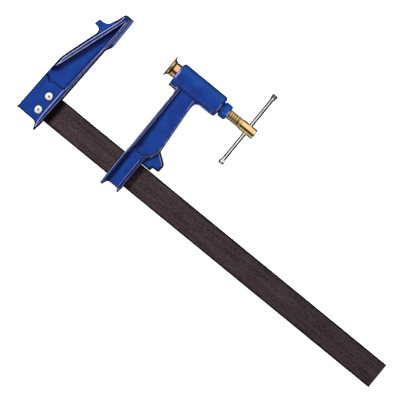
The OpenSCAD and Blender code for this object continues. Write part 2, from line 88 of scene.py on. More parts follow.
# Places of the solids. The rail's edges are called near and far as seen from the spindle
RAIL_LOW, RAIL_HIGH = span("rail")
JAW_LOW, JAW_HIGH = span("fixed_jaw")
ARM_LOW, ARM_HIGH = span("sliding_arm")
NUT_LOW, NUT_HIGH = span("spindle_nut")
PLUNGER_LOW, PLUNGER_HIGH = span("plunger")
SPINDLE_LOW, SPINDLE_HIGH = span("spindle")
TOMMY_LOW, TOMMY_HIGH = span("tommy_bar")
PAD_LOW, PAD_HIGH = span("pressure_pad")
FAR, NEAR = RAIL_LOW[1], RAIL_HIGH[1]
RAIL_MID = (NEAR + FAR) / 2
RAIL_HALF_W = (NEAR - FAR) / 2
RAIL_HALF_T = RAIL_HIGH[2]
BARREL_X = ARM_LOW[0]
BARREL_END = ARM_HIGH[0]
BARREL_R = ARM_HIGH[1]
NUT_CORNER = NUT_HIGH[1]
TOMMY_X = (TOMMY_LOW[0] + TOMMY_HIGH[0]) / 2
SPINDLE_HEAD_X = 2 * TOMMY_X - SPINDLE_HIGH[0]
RIVETS = [sum(span(name))[:2] / 2 for name in RIVET_NAMES]
RIVET_R = np.ptp(span(RIVET_NAMES[0]), axis=0)[0] / 2

# Sizes that the boxes don't give: the arm's setback from the barrel's front, half thicknesses and gaps
ARM_SETBACK = 11.3
ARM_X = BARREL_X + ARM_SETBACK
GUIDE_X = BARREL_X + ARM_SETBACK / 2
RIM_HALF = 12.0
WEB_HALF = 5.0
JAW_HEAD_HALF = 10.0
LUG_HALF = 6.0
SLEEVE_HALF = 8.0
HEEL_HALF = 8.0
KEEL_HALF = 7.4
BOSS_HALF = 7.0
POCKET_HALF = 5.6
RAIL_SEAT_GAP = 0.15
RAIL_SLIDE_GAP = 0.4
PLUNGER_GAP = 0.15

# Distance that counts as no edge, reach in which a hollow is felt, and radius where a turned end closes
NO_EDGE = 9.0
HOLLOW_REACH = 3.0
TIP_R = 0.02

# Angles in degrees above which an edge between two faces shows as sharp
CAST_SHARP = 60.0
THREAD_SHARP = 40.0
TURNED_SHARP = 35.0
KEY_SHARP = 30.0


def length_setting(name, description, default):
    """Property for a length."""
    return bpy.props.FloatProperty(name=name, description=description, default=default, unit="LENGTH")


def colour_setting(name, description, default):
    """Property for a colour."""
    return bpy.props.FloatVectorProperty(
        name=name, description=description, default=default, subtype="COLOR", size=3)


class ClampSizes(bpy.types.PropertyGroup):
    """Sizes of the looks that the solids leave open."""

    cast_step: length_setting("Casting facet", "Size of a facet on the castings", 0.0006)
    cast_edge: length_setting("Casting edge", "Radius on the castings' outer edges", 0.0006)
    cast_fillet: length_setting("Casting fillet", "Radius in the castings' inner corners", 0.002)
    rail_edge: length_setting("Rail edge", "Radius on the rail's long edges", 0.0006)
    thread_pitch: length_setting("Thread pitch", "Advance of the spindle in one turn", 0.003)
    thread_depth: length_setting("Thread depth", "Depth of the spindle's thread", 0.0009)
    key_depth: length_setting("Keyway depth", "Depth of the plunger's keyway", 0.0025)
    lens: bpy.props.FloatProperty(
        name="Lens", description="Focal length of the camera in millimetres", default=400.0)


class ClampFinish(bpy.types.PropertyGroup):
    """Colours of the finishes."""

    enamel: colour_setting("Enamel", "Paint of the castings", linear(19, 57, 130))
    # Lit copy of the castings' enamel, lighter to offset the shade that falls on the nut
    enamel_nut_lit: colour_setting("Enamel of the nut", "Paint of the spindle nut", linear(24, 72, 152))
    # Darker enamel for the random clouds, and painted shade in hollows and corners
    enamel_cloud_and_shade: colour_setting("Enamel in hollows", "Paint that has pooled in corners", linear(22, 16, 88))
    # Painted shade on steep walls and on the rims' dark lands
    enamel_painted_shade: colour_setting("Enamel on steep walls", "Paint where it lies thickest", linear(7, 8, 44))
    # Painted highlight along edges, and the wear of the clamping face
    enamel_wear_and_highlight: colour_setting("Enamel on edges", "Paint where it is thinnest", linear(164, 164, 205))
    scale_dark: colour_setting("Mill scale, dark", "Dark part of the rail's scale", linear(24, 18, 20))
    scale_pale: colour_setting("Mill scale, pale", "Pale part of the rail's scale", linear(78, 62, 66))
    gold: colour_setting("Yellow zinc", "Plating of the spindle and pad", (0.82, 0.6, 0.26))
    # Colour that the thread darkens to in its roots
    root: colour_setting("Thread roots", "Oil and dirt in the roots of the thread", (0.34, 0.22, 0.09))
    copper: colour_setting("Red-gold plating", "Plating of the plunger", (0.84, 0.46, 0.2))
    nickel: colour_setting("Nickel", "Plating of the tommy bar", (0.92, 0.87, 0.8))
    steel: colour_setting("Steel", "Rivets and pins", (0.78, 0.78, 0.76))
    floor: colour_setting("Floor", "Colour of the studio floor", (0.92, 0.92, 0.92))


# Outlines and fields


def rounded(corners, steps=8):
    """Outline from anticlockwise corners [x, y, radius].

    A corner with a radius r becomes an arc. Its centre lies on the line that halves the corner, at a
    distance of r / sin(half the angle), so the arc touches both legs.
    """
    corners = np.array(corners, float)
    parts = []
    for before, corner, after in zip(np.roll(corners, 1, 0), corners, np.roll(corners, -1, 0)):
        c, r = corner[:2], corner[2]
        if r == 0:
            parts.append(c[None])
            continue
        u = (before[:2] - c) / np.linalg.norm(before[:2] - c)
        v = (after[:2] - c) / np.linalg.norm(after[:2] - c)
        half = math.acos(np.clip(u @ v, -1, 1)) / 2
        centre = c + (u + v) / np.linalg.norm(u + v) * r / math.sin(half)
        first = c + u * r / math.tan(half) - centre
        turn = math.copysign(math.pi - 2 * half, -(u[0] * v[1] - u[1] * v[0]))
        t = np.linspace(0, turn, steps + 1)[:, None]
        parts.append(centre + first * np.cos(t) + np.array([-first[1], first[0]]) * np.sin(t))
    return np.concatenate(parts)


def plan_distance(x, y, outline):
    """Distance in the plan from the points (x, y) to a closed outline, negative inside.

    It is the least distance to any side of the outline. A point is inside where a ray from it crosses an odd
    number of sides.
    """
    nearest = np.inf
    inside = np.zeros(np.broadcast(x, y).shape, bool)
    for (ax, ay), (bx, by) in zip(outline, np.roll(outline, -1, 0)):
        ex, ey = bx - ax, by - ay
        t = np.clip(((x - ax) * ex + (y - ay) * ey) / (ex * ex + ey * ey), 0, 1)
        nearest = np.minimum(nearest, (x - ax - t * ex) ** 2 + (y - ay - t * ey) ** 2)
        if ay != by:
            inside ^= ((ay > y) != (by > y)) & (x < ax + ex * (y - ay) / ey)
    return np.where(inside, -1, 1) * np.sqrt(nearest)


class PlanTable:
    """Plan distances to one outline, worked out once on a fine grid and then read between its points."""

    def __init__(self, corners, low, high, step=0.25, margin=6.0):
        self.low = np.array(low[:2]) - margin
        self.step = step
        counts = np.ceil((np.array(high[:2]) + margin - self.low) / step).astype(int) + 1
        x, y = (first + step * np.arange(count) for first, count in zip(self.low, counts))
        self.table = plan_distance(x[:, None], y[None], rounded(corners))

    def __call__(self, x, y):
        """Distance at points: the mean of the four grid points round each, weighted by how near they are."""
        u, v = (x - self.low[0]) / self.step, (y - self.low[1]) / self.step
        i = np.clip(np.floor(u).astype(int), 0, self.table.shape[0] - 2)
        j = np.clip(np.floor(v).astype(int), 0, self.table.shape[1] - 2)
        s, t = np.clip(u - i, 0, 1), np.clip(v - j, 0, 1)
        near = self.table[i, j] * (1 - s) + self.table[i + 1, j] * s
        far = self.table[i, j + 1] * (1 - s) + self.table[i + 1, j + 1] * s
        return near * (1 - t) + far * t


def meet(a, b, r):
    """Field of what two solids share, its edge rounded: the length of both parts above -r, less r."""
    return np.minimum(-r, np.maximum(a, b)) + np.hypot(np.maximum(r + a, 0), np.maximum(r + b, 0))


def join(a, b, r):
    """Field of two solids together, with a fillet: r less the length of both parts that lie below r."""
    return np.maximum(r, np.minimum(a, b)) - np.hypot(np.maximum(r - a, 0), np.maximum(r - b, 0))


def cut(a, b, r):
    """Field of solid a with b taken out and the new edge rounded."""
    return meet(a, -b, r)


def leaning(plan, rise, lean):
    """Distance to a wall that moves in by lean times the rise, from its plan distance at no rise."""
    return (plan + rise * lean) / np.hypot(1, lean)


def least(*values):
    """Smallest of several fields, point by point."""
    return np.minimum.reduce(np.broadcast_arrays(*values))


def along_edge(wall, cap):
    """Distance along the surface from the edge where a wall meets a cap: the larger distance to the two."""
    return np.maximum(np.abs(wall), np.abs(cap))


def rod(a, b, radius):
    """Field of a round bar: distance from its axis in the two coordinates across it, less the radius."""
    return np.hypot(a, b) - radius


def rail_slot(y, height, gap):
    """Field of the rail's section with a gap all round."""
    corner_r = 0.3
    return meet(np.abs(y - RAIL_MID) - RAIL_HALF_W - gap, height - RAIL_HALF_T - gap, corner_r)


def between(value, start, end):
    """Share that goes evenly from 0 at start to 1 at end."""
    return np.clip((value - start) / (end - start), 0, 1)


def past(value, limit):
    """How far a value lies past a limit, or 0."""
    return np.maximum(value - limit, 0)


def hidden(where):
    """Distance that keeps an edge from being drawn where a test holds."""
    return np.where(where, NO_EDGE, 0.0)


# Outlines of the fixed jaw in the plan, from the clamping face: its body at the mid-plane, and hollows at
# their mouths. Where a hollow is open or a piece runs into another, the outline reaches past the body
JAW_BODY = (
    [-12.6, JAW_LOW[1], 0.9], [-10.2, JAW_LOW[1], 0.9], [-8.8, FAR - 6, 0], [-8.0, FAR + 4, 0],
    [-6.6, NEAR, 0], [-4.0, -35.5, 2.5], [3.0, -22.8, 0], [3.0, JAW_HIGH[1], 0],
    [-12.8, JAW_HIGH[1], 4.5], [-14.6, 9.4, 6], [-30.5, -38, 50], [-41.6, -74.5, 16],
    [-42.4, -88, 0], [-43.4, NEAR + 10.3, 0], [-44.9, FAR - 3, 0], [JAW_LOW[0], FAR - 7.6, 0.4],
    [-42.4, FAR - 6.2, 2], [-15.6, FAR - 6.2, 7])
JAW_WEB = (
    [-11.7, NEAR + 9.4, 4], [-9.0, -58, 0], [-7.2, -32, 0], [-6.6, 5.5, 0.5], [-7.8, 7.4, 0.5],
    [-9.8, 0, 0], [-25.9, -50, 0], [-35.9, -80.5, 0], [-41.2, -94, 0], [-53, -96, 0],
    [-53, NEAR + 12.2, 0], [-41.9, NEAR + 12.2, 0], [-33.2, NEAR + 5.6, 0], [-29.5, NEAR + 8.6, 2])
JAW_HEAD = (
    [-53, -180, 0], [-11.4, -180, 0], [-13.2, FAR - 6, 5], [-14.2, FAR + 4, 0],
    [-13.2, NEAR, 0], [-12.8, NEAR + 11.6, 0], [-53, NEAR + 11.6, 0])
JAW_NOSE = ([-4.2, -42, 0], [12, -42, 0], [12, 24, 0], [-4.2, 24, 0])
JAW_LUG = (
    [-35.9, -18.5, 0.9], [-28.2, -18.8, 6], [-24.9, -26.2, 0], [-16.7, -22.2, 0],
    [-14.7, -0.2, 0], [-17.7, -0.2, 0], [-22.9, -10.0, 10], [-34.3, -10.0, 0.9])

# Outlines of the sliding arm in the plan, from the arm's front edge: hollows again at the mouths
ARM_BODY = (
    [-0.5, ARM_LOW[1], 0.9], [3.5, ARM_LOW[1], 0.9], [5.8, FAR - 6.1, 4.5], [20.8, FAR - 6.1, 4],
    [22.7, FAR - 10.2, 0.7], [24.5, FAR - 10.2, 0.7], [25.4, FAR - 3, 0], [25.5, FAR, 0],
    [25.5, NEAR - 2, 0], [25.2, NEAR + 5, 4], [26.6, NEAR + 10.2, 4], [31.4, NEAR + 17, 6],
    [34.1, NEAR + 23.2, 6], [33.9, NEAR + 28, 0], [28.2, -22.6, 60], [28.1, -6, 0], [0, -6, 0],
    [0, NEAR + 10, 0], [-0.6, NEAR - 3, 0], [-0.6, FAR, 0], [-0.5, FAR - 6, 0])
ARM_WEB = (
    [4.3, NEAR + 3.0, 0], [20.2, NEAR + 3.0, 0], [20.5, NEAR + 8.6, 3], [23.4, NEAR + 11.4, 4],
    [28.3, NEAR + 17.6, 6], [31.5, NEAR + 24.5, 5], [31.2, -80, 0], [26.0, -22.6, 0], [25.8, -6, 0],
    [4.3, -6, 0])
ARM_SLEEVE = (
    [4.2, -180, 0], [20.0, -180, 0], [20.2, NEAR + 5, 3], [21.0, NEAR + 9, 0],
    [21.0, NEAR + 13, 0], [4.2, NEAR + 13, 0])
ARM_HEEL = (
    [27.9, NEAR + 17.5, 0], [19.5, NEAR + 0.4, 0], [38.4, NEAR + 0.4, 1], [38.7, NEAR + 5.3, 1.4],
    [47.8, NEAR + 5.3, 2.6], [48.2, NEAR + 16.7, 6], [34.5, NEAR + 26.5, 3], [29.4, NEAR + 26.5, 0])
ARM_KEEL = (
    [25.2, -28.1, 0], [28.5, -28.1, 0], [28.2, -14.9, 8], [49.9, -14.9, 1.5], [52.9, -9.6, 0],
    [1.5, -9.6, 0], [1.5, -14.9, 0], [25.2, -14.9, 0])
ARM_BOSS = (
    [-ARM_SETBACK, -19.3, 0.9], [0.2, -19.3, 2.5], [0.2, -23.3, 0], [2.2, -23.3, 0], [2.2, -9.7, 0],
    [-ARM_SETBACK, -9.7, 0])
BOSS_POCKET = ([-8.85, -16.3, 0.6], [-0.9, -16.3, 0.6], [-0.9, -13.7, 0.6], [-8.85, -13.7, 0.6])


# A painted field gives four values at a point: the distance to the skin, negative inside; the distances to
# the nearest pale edge of painted highlight and dark land of painted shade, as the paint counts them; and
# the share by which painted shade darkens a steep wall.
# A number added to a paint distance makes its edge or land fainter, and a factor below 1 makes it wider


def jaw_back(x, y):
    """Share of the jaw's back rim: it grows past a line along the web, and fades at the rim's ends."""
    line_slope, line_from, line_to = 0.17, 5.5, 13.5
    return between(line_slope * y - x, line_from, line_to) * between(y, -100, -86) * between(y, 12, 4)


def jaw_field(sizes):
    """Painted field of the fixed jaw: a leaning plate, less the hollows beside its rims, joined to the lug.

    The clamping face is cut flat, and the rail's seat is cut out. The back rim leans more than the front.
    """
    edge, fillet = sizes.cast_edge / MM, sizes.cast_fillet / MM
    body_plan, web_plan, head_plan, nose_plan, lug_plan = (
        PlanTable(corners, JAW_LOW, JAW_HIGH)
        for corners in (JAW_BODY, JAW_WEB, JAW_HEAD, JAW_NOSE, JAW_LUG))
    front_lean, back_lean, web_lean = 0.165, 0.3, 0.28
    head_lean, nose_lean, lug_lean = 0.4, 0.2, 0.2
    floor_r, step_r, face_edge = 0.8, 0.9, 0.5
    seat_end_gap, seat_corner, seat_edge = 0.2, 0.3, 0.4
    tip_y, worn_depth, worn_reach = 10.0, 5.0, 24.0
    ring_w, ledge_x, foot_reach = 0.9, -32.5, 1.4

    def field(x, y, z):
        height = np.abs(z)
        cap = height - RIM_HALF
        back = jaw_back(x, y)
        wall = leaning(body_plan(x, y), height, front_lean + (back_lean - front_lean) * back)
        web_wall = leaning(web_plan(x, y), -cap, web_lean)
        head_wall = leaning(head_plan(x, y), -cap, head_lean)
        nose_wall = leaning(nose_plan(x, y), -cap, nose_lean)
        web = meet(web_wall, WEB_HALF - height, fillet)
        head = meet(head_wall, JAW_HEAD_HALF - height, floor_r)
        nose = meet(nose_wall, JAW_HEAD_HALF - height, floor_r)
        jaw = cut(meet(wall, cap, edge), np.minimum(join(web, head, step_r), nose), edge)
        lug = meet(leaning(lug_plan(x, y), height, lug_lean), height - LUG_HALF, edge)
        jaw = meet(join(jaw, lug, fillet), x, face_edge)
        seat = meet(rail_slot(y, height, RAIL_SEAT_GAP), RAIL_LOW[0] - seat_end_gap - x, seat_corner)
        jaw = cut(jaw, seat, seat_edge)
        # Pale: painted highlights on the edges of the rims, fading out at the tip, and the worn clamping
        # face
        rims = least(along_edge(wall, cap), along_edge(head_wall + 0.1, cap), along_edge(nose_wall, cap),
                     along_edge(web_wall - 0.35 * back, cap) + 0.25 * (1 - back))
        worn = 0.77 + np.maximum(past(-x, worn_depth), past(-y, worn_reach))
        pale = least(rims + past(y, tip_y), worn)
        # Dark: painted shade on the rims' lands, in a ring round each rivet, on the web's end on the head,
        # and along the front rim's foot
        rings = past(least(*(np.hypot(x - a, y - b) for a, b in RIVETS)), RIVET_R + ring_w)
        ledge = along_edge(web_wall, height - JAW_HEAD_HALF) * 0.6 + hidden(x > ledge_x)
        foot = np.where(web_wall > 0.3, 0.54, 0.36) + past(-web_wall, foot_reach) * 0.2 + back * NO_EDGE
        return jaw, pale, least(np.abs(cap), rings, ledge, foot), np.ones_like(pale)

    return field


def arm_field(sizes):
    """Painted field of the sliding arm: a plate that thins towards the barrel, less the two hollows.

    Heel, keel, boss and barrel are joined to it, and the slot for the rail and the bores are cut out.
    """
    edge, fillet = sizes.cast_edge / MM, sizes.cast_fillet / MM
    low, high = ARM_LOW - [ARM_X, 0, 0], ARM_HIGH - [ARM_X, 0, 0]
    body_plan, web_plan, sleeve_plan, heel_plan, keel_plan, boss_plan, pocket_plan = (
        PlanTable(corners, low, high)
        for corners in (ARM_BODY, ARM_WEB, ARM_SLEEVE, ARM_HEEL, ARM_KEEL, ARM_BOSS, BOSS_POCKET))
    thinning, thin_from, thin_to = 4.3, NEAR + 9.5, NEAR + 92.9
    rim_lean, web_lean, sleeve_lean, heel_lean, keel_lean = 0.1, 0.2, 0.3, 0.3, 0.04
    run_out_lean, run_out_y = 1.67, NEAR + 1.3
    sleeve_r, step_r, pocket_r = 1.2, 0.9, 0.5
    heel_fillet, keel_fillet, boss_fillet, barrel_fillet = 1.6, 1.2, 0.9, 0.9
    fillet_run, fillet_left = 3.0, 0.05
    keel_edge, boss_edge, pocket_edge, barrel_edge = 0.9, 0.7, 0.4, 3.5
    slot_edge, bore_edge, guide_edge = 0.5, 0.7, 0.3
    socket_r, socket_l, guide_r = 10.2, 20.8, 2.6
    # Places where the painted highlights and painted shade change
    between_rims, by_barrel, at_barrel, crest_y = 12.0, -24.0, -15.0, NEAR + 13.0
    lip_in, lip_half, lit_y, lit_half = 1.4, 0.8, -2.0, 4.0
    keel_u, mouth_y, foot_y, foot_height = 29.0, -15.4, -17.7, 6.2
    slope_y, slope_half, slope_top, slope_height = NEAR + 10.5, 4.5, 7.8, 7.5
    shade_u, walls_from, walls_to = 8.6, -15.5, -18.5

    def field(x, y, z):
        u = x - ARM_X
        height = np.abs(z)
        cap = height - (RIM_HALF - thinning * between(y, thin_from, thin_to))
        wall = leaning(body_plan(u, y), height, rim_lean)
        run_out = leaning(run_out_y - y, -cap, run_out_lean)
        web_wall = np.maximum(leaning(web_plan(u, y), -cap, web_lean), run_out)
        sleeve_wall = leaning(sleeve_plan(u, y), -cap, sleeve_lean)
        heel_wall = leaning(heel_plan(u, y), height, heel_lean)
        keel_wall = leaning(keel_plan(u, y), height, keel_lean)
        boss_wall = leaning(boss_plan(u, y), height, keel_lean)
        pocket_wall = pocket_plan(u, y)
        skin = rod(y, z, BARREL_R)
        ends = np.maximum(BARREL_X - x, x - BARREL_END)
        web = meet(web_wall, WEB_HALF - height, fillet)
        sleeve = meet(sleeve_wall, SLEEVE_HALF - height, sleeve_r)
        arm = cut(meet(wall, cap, edge), join(web, sleeve, step_r), edge)
        heel = meet(heel_wall, height - HEEL_HALF, edge)
        keel = meet(keel_wall, height - KEEL_HALF, keel_edge)
        boss = meet(boss_wall, height - BOSS_HALF, boss_edge)
        pocket = meet(pocket_wall, POCKET_HALF - height, pocket_r)
        arm = join(join(arm, heel, heel_fillet), keel, keel_fillet)
        arm = join(arm, cut(boss, pocket, pocket_edge), boss_fillet)
        # The barrel's fillet runs out at its front, so that the front stays flat for the pad
        fillet_share = np.maximum(between(x, BARREL_X, BARREL_X + fillet_run), fillet_left)
        arm = join(arm, meet(skin, ends, barrel_edge), barrel_fillet * fillet_share)
        arm = cut(arm, rail_slot(y, height, RAIL_SLIDE_GAP), slot_edge)
        socket = np.maximum(rod(y, z, socket_r), BARREL_END - socket_l - x)
        bore = np.minimum(rod(y, z, PLUNGER_HIGH[1] + PLUNGER_GAP), socket)
        guide_hole = np.maximum(rod(x - GUIDE_X, z, guide_r), y)
        arm = cut(cut(arm, bore, bore_edge), guide_hole, guide_edge)
        # Pale: painted highlights on the edges of the rims, fainter at the back, and on the heel's crest,
        # the barrel's rounded ends, the keel and the boss
        back = u > between_rims
        fainter = np.where(back | (y < NEAR), 0.2, 0.0) + np.where(y > by_barrel, 0.35, 0.0)
        rims = least(along_edge(wall, cap) + fainter,
                     along_edge(sleeve_wall, cap) + np.where(back, 0.3, 0.6),
                     along_edge(web_wall, cap) + np.where(back, 0.45, 0.1))
        crest = along_edge(heel_wall, height - HEEL_HALF) + hidden(y < crest_y)
        barrel_end_glints = 0.6 + past(np.abs(ends + lip_in), lip_half) * 0.4 + past(np.abs(y - lit_y), lit_half) * 0.1
        keel_rim = along_edge(keel_wall, height - KEEL_HALF) + np.where(u < keel_u, NO_EDGE, 0.1)
        mouth = along_edge(pocket_wall, height - BOSS_HALF) + np.where(y > mouth_y, 0.45, 0.0)
        pale = least(np.minimum(rims, crest) + past(y, at_barrel) * 2, barrel_end_glints, keel_rim, mouth)
        # Dark: painted shade on the rims' lands, the barrel's seam, the boss's pocket and foot, the web's
        # end and the sleeve
        seam = along_edge(skin, height - KEEL_HALF) * 0.6 + hidden(y > 0)
        pocket_floor = np.abs(height - POCKET_HALF) + past(pocket_wall, -0.3) * 3
        foot = 0.2 + past(y, foot_y) * 0.6 + hidden((u > 0) | (height < foot_height))
        off_slope = (np.abs(y - slope_y) > slope_half) | (web_wall > 0.6) | (height > slope_top)
        slope = past(slope_height, height) * 0.26 + hidden(off_slope)
        shaded = 0.4 + past(u, shade_u) * 0.12 + hidden((sleeve_wall > 0.3) | (y > NEAR))
        dark = least(np.abs(cap), seam, pocket_floor, foot, slope, shaded)
        return arm, pale, dark, between(y, walls_from, walls_to)

    return field


def nut_field(x, y, z):
    """Painted field of the spindle nut: a hexagon with turned corners, a neck, a shank and the bore."""
    bevel, front_turned, back_turned = 1.2, 1.5, 1.9
    neck_r, shank_r, bore_r = 8.05, 10.0, 6.6
    neck_x, neck_overlap, shank_gap = BARREL_END + 1.2, 1.0, 0.2
    corner_edge, head_edge, neck_fillet, shank_edge = 0.35, 0.3, 0.3, 0.5
    to_flat = math.cos(math.pi / 6)
    height, radius = np.abs(z), np.hypot(y, z)
    flats = np.maximum(height, height / 2 + np.abs(y) * to_flat) - NUT_CORNER * to_flat
    front = (radius - (x - neck_x) * bevel - NUT_CORNER + front_turned) / math.hypot(1, bevel)
    back = (radius + (x - NUT_HIGH[0]) * bevel - NUT_CORNER + back_turned) / math.hypot(1, bevel)
    hexagon = meet(flats, np.maximum(front, back), corner_edge)
    head = meet(hexagon, np.maximum(neck_x - x, x - NUT_HIGH[0]), head_edge)
    neck_ends = np.maximum(NUT_LOW[0] + neck_overlap - x, x - neck_x - neck_overlap)
    neck = np.maximum(radius - neck_r, neck_ends)
    shank = meet(radius - shank_r, np.maximum(NUT_LOW[0] - x, x - BARREL_END + shank_gap), shank_edge)
    nut = cut(np.minimum(join(head, neck, neck_fillet), shank), radius - bore_r, shank_edge)
    # Pale: painted glints where the flats meet the turned bevels, strongest near the middle
    pale = np.minimum(along_edge(flats, front), along_edge(flats, back)) + past(np.abs(y), 2.5) * 0.4
    return nut, pale, np.full_like(radius, NO_EDGE), np.zeros_like(radius)


def spindle_head_field(x, y, z):
    """Field of the spindle's head: a round bar with broken edges, and the cross hole for the tommy bar."""
    hole_r, hole_edge, end_edge = 2.95, 0.5, 0.9
    ends = np.abs(x - TOMMY_X) - (SPINDLE_HIGH[0] - TOMMY_X)
    bar = meet(rod(y, z, SPINDLE_HIGH[1]), ends, end_edge)
    return cut(bar, rod(x - TOMMY_X, z, hole_r), hole_edge)


# Surfaces

CELL_CORNERS = [np.array([i, j, k]) for i in (0, 1) for j in (0, 1) for k in (0, 1)]
CELL_SIDES = [(corner, corner + way)
              for corner in CELL_CORNERS for way in np.eye(3, dtype=int) if corner @ way == 0]


def crossed_cells(value):
    """Cells of a grid of values that the zero runs through, and one place in each, in grid steps.

    The place is the mean of the crossings on the cell's twelve sides. A crossing divides its side as the
    values at the side's ends divide their difference.
    """
    solid = value < 0
    inner = np.array(value.shape) - 1
    count = sum(solid[tuple(slice(a, a + n) for a, n in zip(corner, inner))].astype(np.int8)
                for corner in CELL_CORNERS)
    cells = np.argwhere((count > 0) & (count < len(CELL_CORNERS)))
    total = np.zeros((len(cells), 3))
    crossings = np.zeros((len(cells), 1))
    for start, end in CELL_SIDES:
        first, last = value[tuple((cells + start).T)], value[tuple((cells + end).T)]
        crossed = (first < 0) != (last < 0)
        share = np.where(crossed, first / np.where(first == last, 1, first - last), 0)
        total += np.where(crossed[:, None], cells + start + share[:, None] * (end - start), 0)
        crossings += crossed[:, None]
    return cells, total / crossings


def net_quads(solid, number):
    """Quads through the four numbered cells round each grid line whose ends differ, facing outwards."""
    quads = []
    for axis in range(3):
        first, last = np.delete(solid, -1, axis), np.delete(solid, 0, axis)
        p, q = (a for a in range(3) if a != axis)
        line = np.argwhere(first != last)
        for a in (p, q):
            line = line[(line[:, a] > 0) & (line[:, a] < solid.shape[a] - 1)]
        step_p, step_q = np.eye(3, dtype=int)[[p, q]]
        ring = (line - step_p - step_q, line - step_q, line, line - step_p)
        quad = np.stack([number[tuple(cell.T)] for cell in ring], 1)
        outward = first[tuple(line.T)] == (axis != 1)
        quads.append(np.where(outward[:, None], quad, quad[:, ::-1]))
    return np.concatenate(quads)


def field_slope(solid, points, reach=0.05):
    """Way in which a field rises at points: its differences over a small reach on each axis, at length 1."""
    rise = np.stack([solid(*(points + row).T) - solid(*(points - row).T) for row in np.eye(3) * reach], 1)
    return rise / np.maximum(np.linalg.norm(rise, axis=1, keepdims=True), 1e-9)


def surface_net(solid, low, high, step):
    """Points and quads over the zero of a field, worked out on a regular grid.

    A cell whose corners differ in sign gets one point, and each crossed grid line a quad through the four
    cells round it. Two Newton steps then put every point on the zero, along the field's slope.
    """
    longest_move = 0.4
    axes = [np.arange(a - 2 * step, b + 2.5 * step, step) for a, b in zip(low, high)]
    shape = tuple(len(axis) for axis in axes)
    value = np.ascontiguousarray(np.broadcast_to(solid(*np.ix_(*axes)), shape))
    cells, places = crossed_cells(value)
    number = np.full(tuple(n - 1 for n in shape), -1, np.int64)
    number[tuple(cells.T)] = np.arange(len(cells))
    points = np.array([axis[0] for axis in axes]) + places * step
    for _ in range(2):
        move = np.clip(solid(*points.T), -longest_move, longest_move)
        points -= move[:, None] * field_slope(solid, points)
    return points, net_quads(value < 0, number)


def painted_net(field, low, high, step):
    """Points, quads and shares of a painted field.

    The filled share is 1 where the field a reach off the skin is still 0, as deep in a hollow, and 0 where
    it is the whole reach, as in the open. The steep share is 1 less the upright part of the skin's normal.
    """
    def solid(x, y, z):
        return field(x, y, z)[0]

    points, quads = surface_net(solid, low, high, step)
    out = field_slope(solid, points)
    _, pale, dark, walls = field(*points.T)
    off_skin = solid(*(points + out * HOLLOW_REACH).T)
    shares = {"pale": np.minimum(pale, NO_EDGE), "dark": np.minimum(dark, NO_EDGE),
              "filled": between(off_skin, HOLLOW_REACH, 0), "steep": (1 - np.abs(out[:, 2])) * walls}
    return points, quads, shares


def eased(corners, steps=4):
    """Open profile from corners [along, radius, rounding]: an outline that keeps its two ends sharp."""
    corners = np.array(corners, float)
    corners[[0, -1], 2] = 0
    return rounded(corners, steps)


def angles(segments):
    """Even steps once round."""
    return np.linspace(0, 2 * np.pi, segments, endpoint=False)


def round_axis(along, radius, segments):
    """Grid of a turned surface: x by the row, and y and z by the angle t as r cos t and r sin t."""
    t = angles(segments)
    return np.stack(np.broadcast_arrays(along, radius * np.cos(t), radius * np.sin(t)), -1)


def turned(profile, segments):
    """Grid of a profile [along, radius] that is turned round the X axis."""
    return round_axis(profile[:, :1], profile[:, 1:2], segments)


def grid_faces(rows, columns, ring=False):
    """Quads of a grid whose columns close on themselves.

    In a ring the last row meets the first. Otherwise a flat cap closes the first row and the last.
    """
    i, j = np.meshgrid(np.arange(rows if ring else rows - 1), np.arange(columns), indexing="ij")
    below, after = (i + 1) % rows, (j + 1) % columns
    here, there = i * columns, below * columns
    quads = np.stack([here + j, here + after, there + after, there + j], -1)
    faces = [quads.reshape(-1, 4)]
    if not ring:
        row = np.arange(columns)[None]
        faces += [row[:, ::-1], row + (rows - 1) * columns]
    return faces


def facing_out(points, faces):
    """Faces, turned round where the mesh is inside out.

    Its volume is a sixth of the sum of the triple products of each face's fan of triangles.
    """
    volume = 0.0
    for group in faces:
        for k in range(1, group.shape[1] - 1):
            a, b, c = points[group[:, 0]], points[group[:, k]], points[group[:, k + 1]]
            volume += np.einsum("ij,ij->", a, np.cross(b, c)) / 6
    return [group[:, ::-1] for group in faces] if volume < 0 else faces


def make_piece(name, points, faces, finish, sharp, shares=None):
    """Object at the origin from points in millimetres and groups of faces with equal counts of corners."""
    faces = facing_out(points, faces)
    mesh = bpy.data.meshes.new(name)
    corners = np.concatenate([group.ravel() for group in faces])
    counts = np.concatenate([np.full(len(group), group.shape[1]) for group in faces])
    mesh.vertices.add(len(points))
    mesh.vertices.foreach_set("co", (points * MM).astype(np.float32).ravel())
    mesh.loops.add(len(corners))
    mesh.loops.foreach_set("vertex_index", corners.astype(np.int32))
    mesh.polygons.add(len(counts))
    mesh.polygons.foreach_set("loop_start", (np.cumsum(counts) - counts).astype(np.int32))
    mesh.update(calc_edges=True)
    if mesh.validate():
        raise RuntimeError(f"the mesh of {name} has bad faces")
    mesh.shade_smooth()
    mesh.set_sharp_from_angle(angle=math.radians(sharp))
    for share, values in (shares or {}).items():
        mesh.attributes.new(share, "FLOAT", "POINT").data.foreach_set("value", values.astype(np.float32))
    mesh.materials.append(finish)
    piece = bpy.data.objects.new(name, mesh)
    bpy.context.scene.collection.objects.link(piece)
    return piece


def grid_piece(name, grid, finish, sharp, root=None, ring=False):
    """Piece from a grid of points, with a root share for each row where one is given."""
    shares = None if root is None else {"root": np.repeat(root, grid.shape[1])}
    return make_piece(name, grid.reshape(-1, 3), grid_faces(*grid.shape[:2], ring), finish, sharp, shares)


def settle(piece, body, solid):
    """Lets a piece move with a body, and stand for a CAD node, whose solid it hides."""
    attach(piece, body)
    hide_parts(solid)


# Finishes


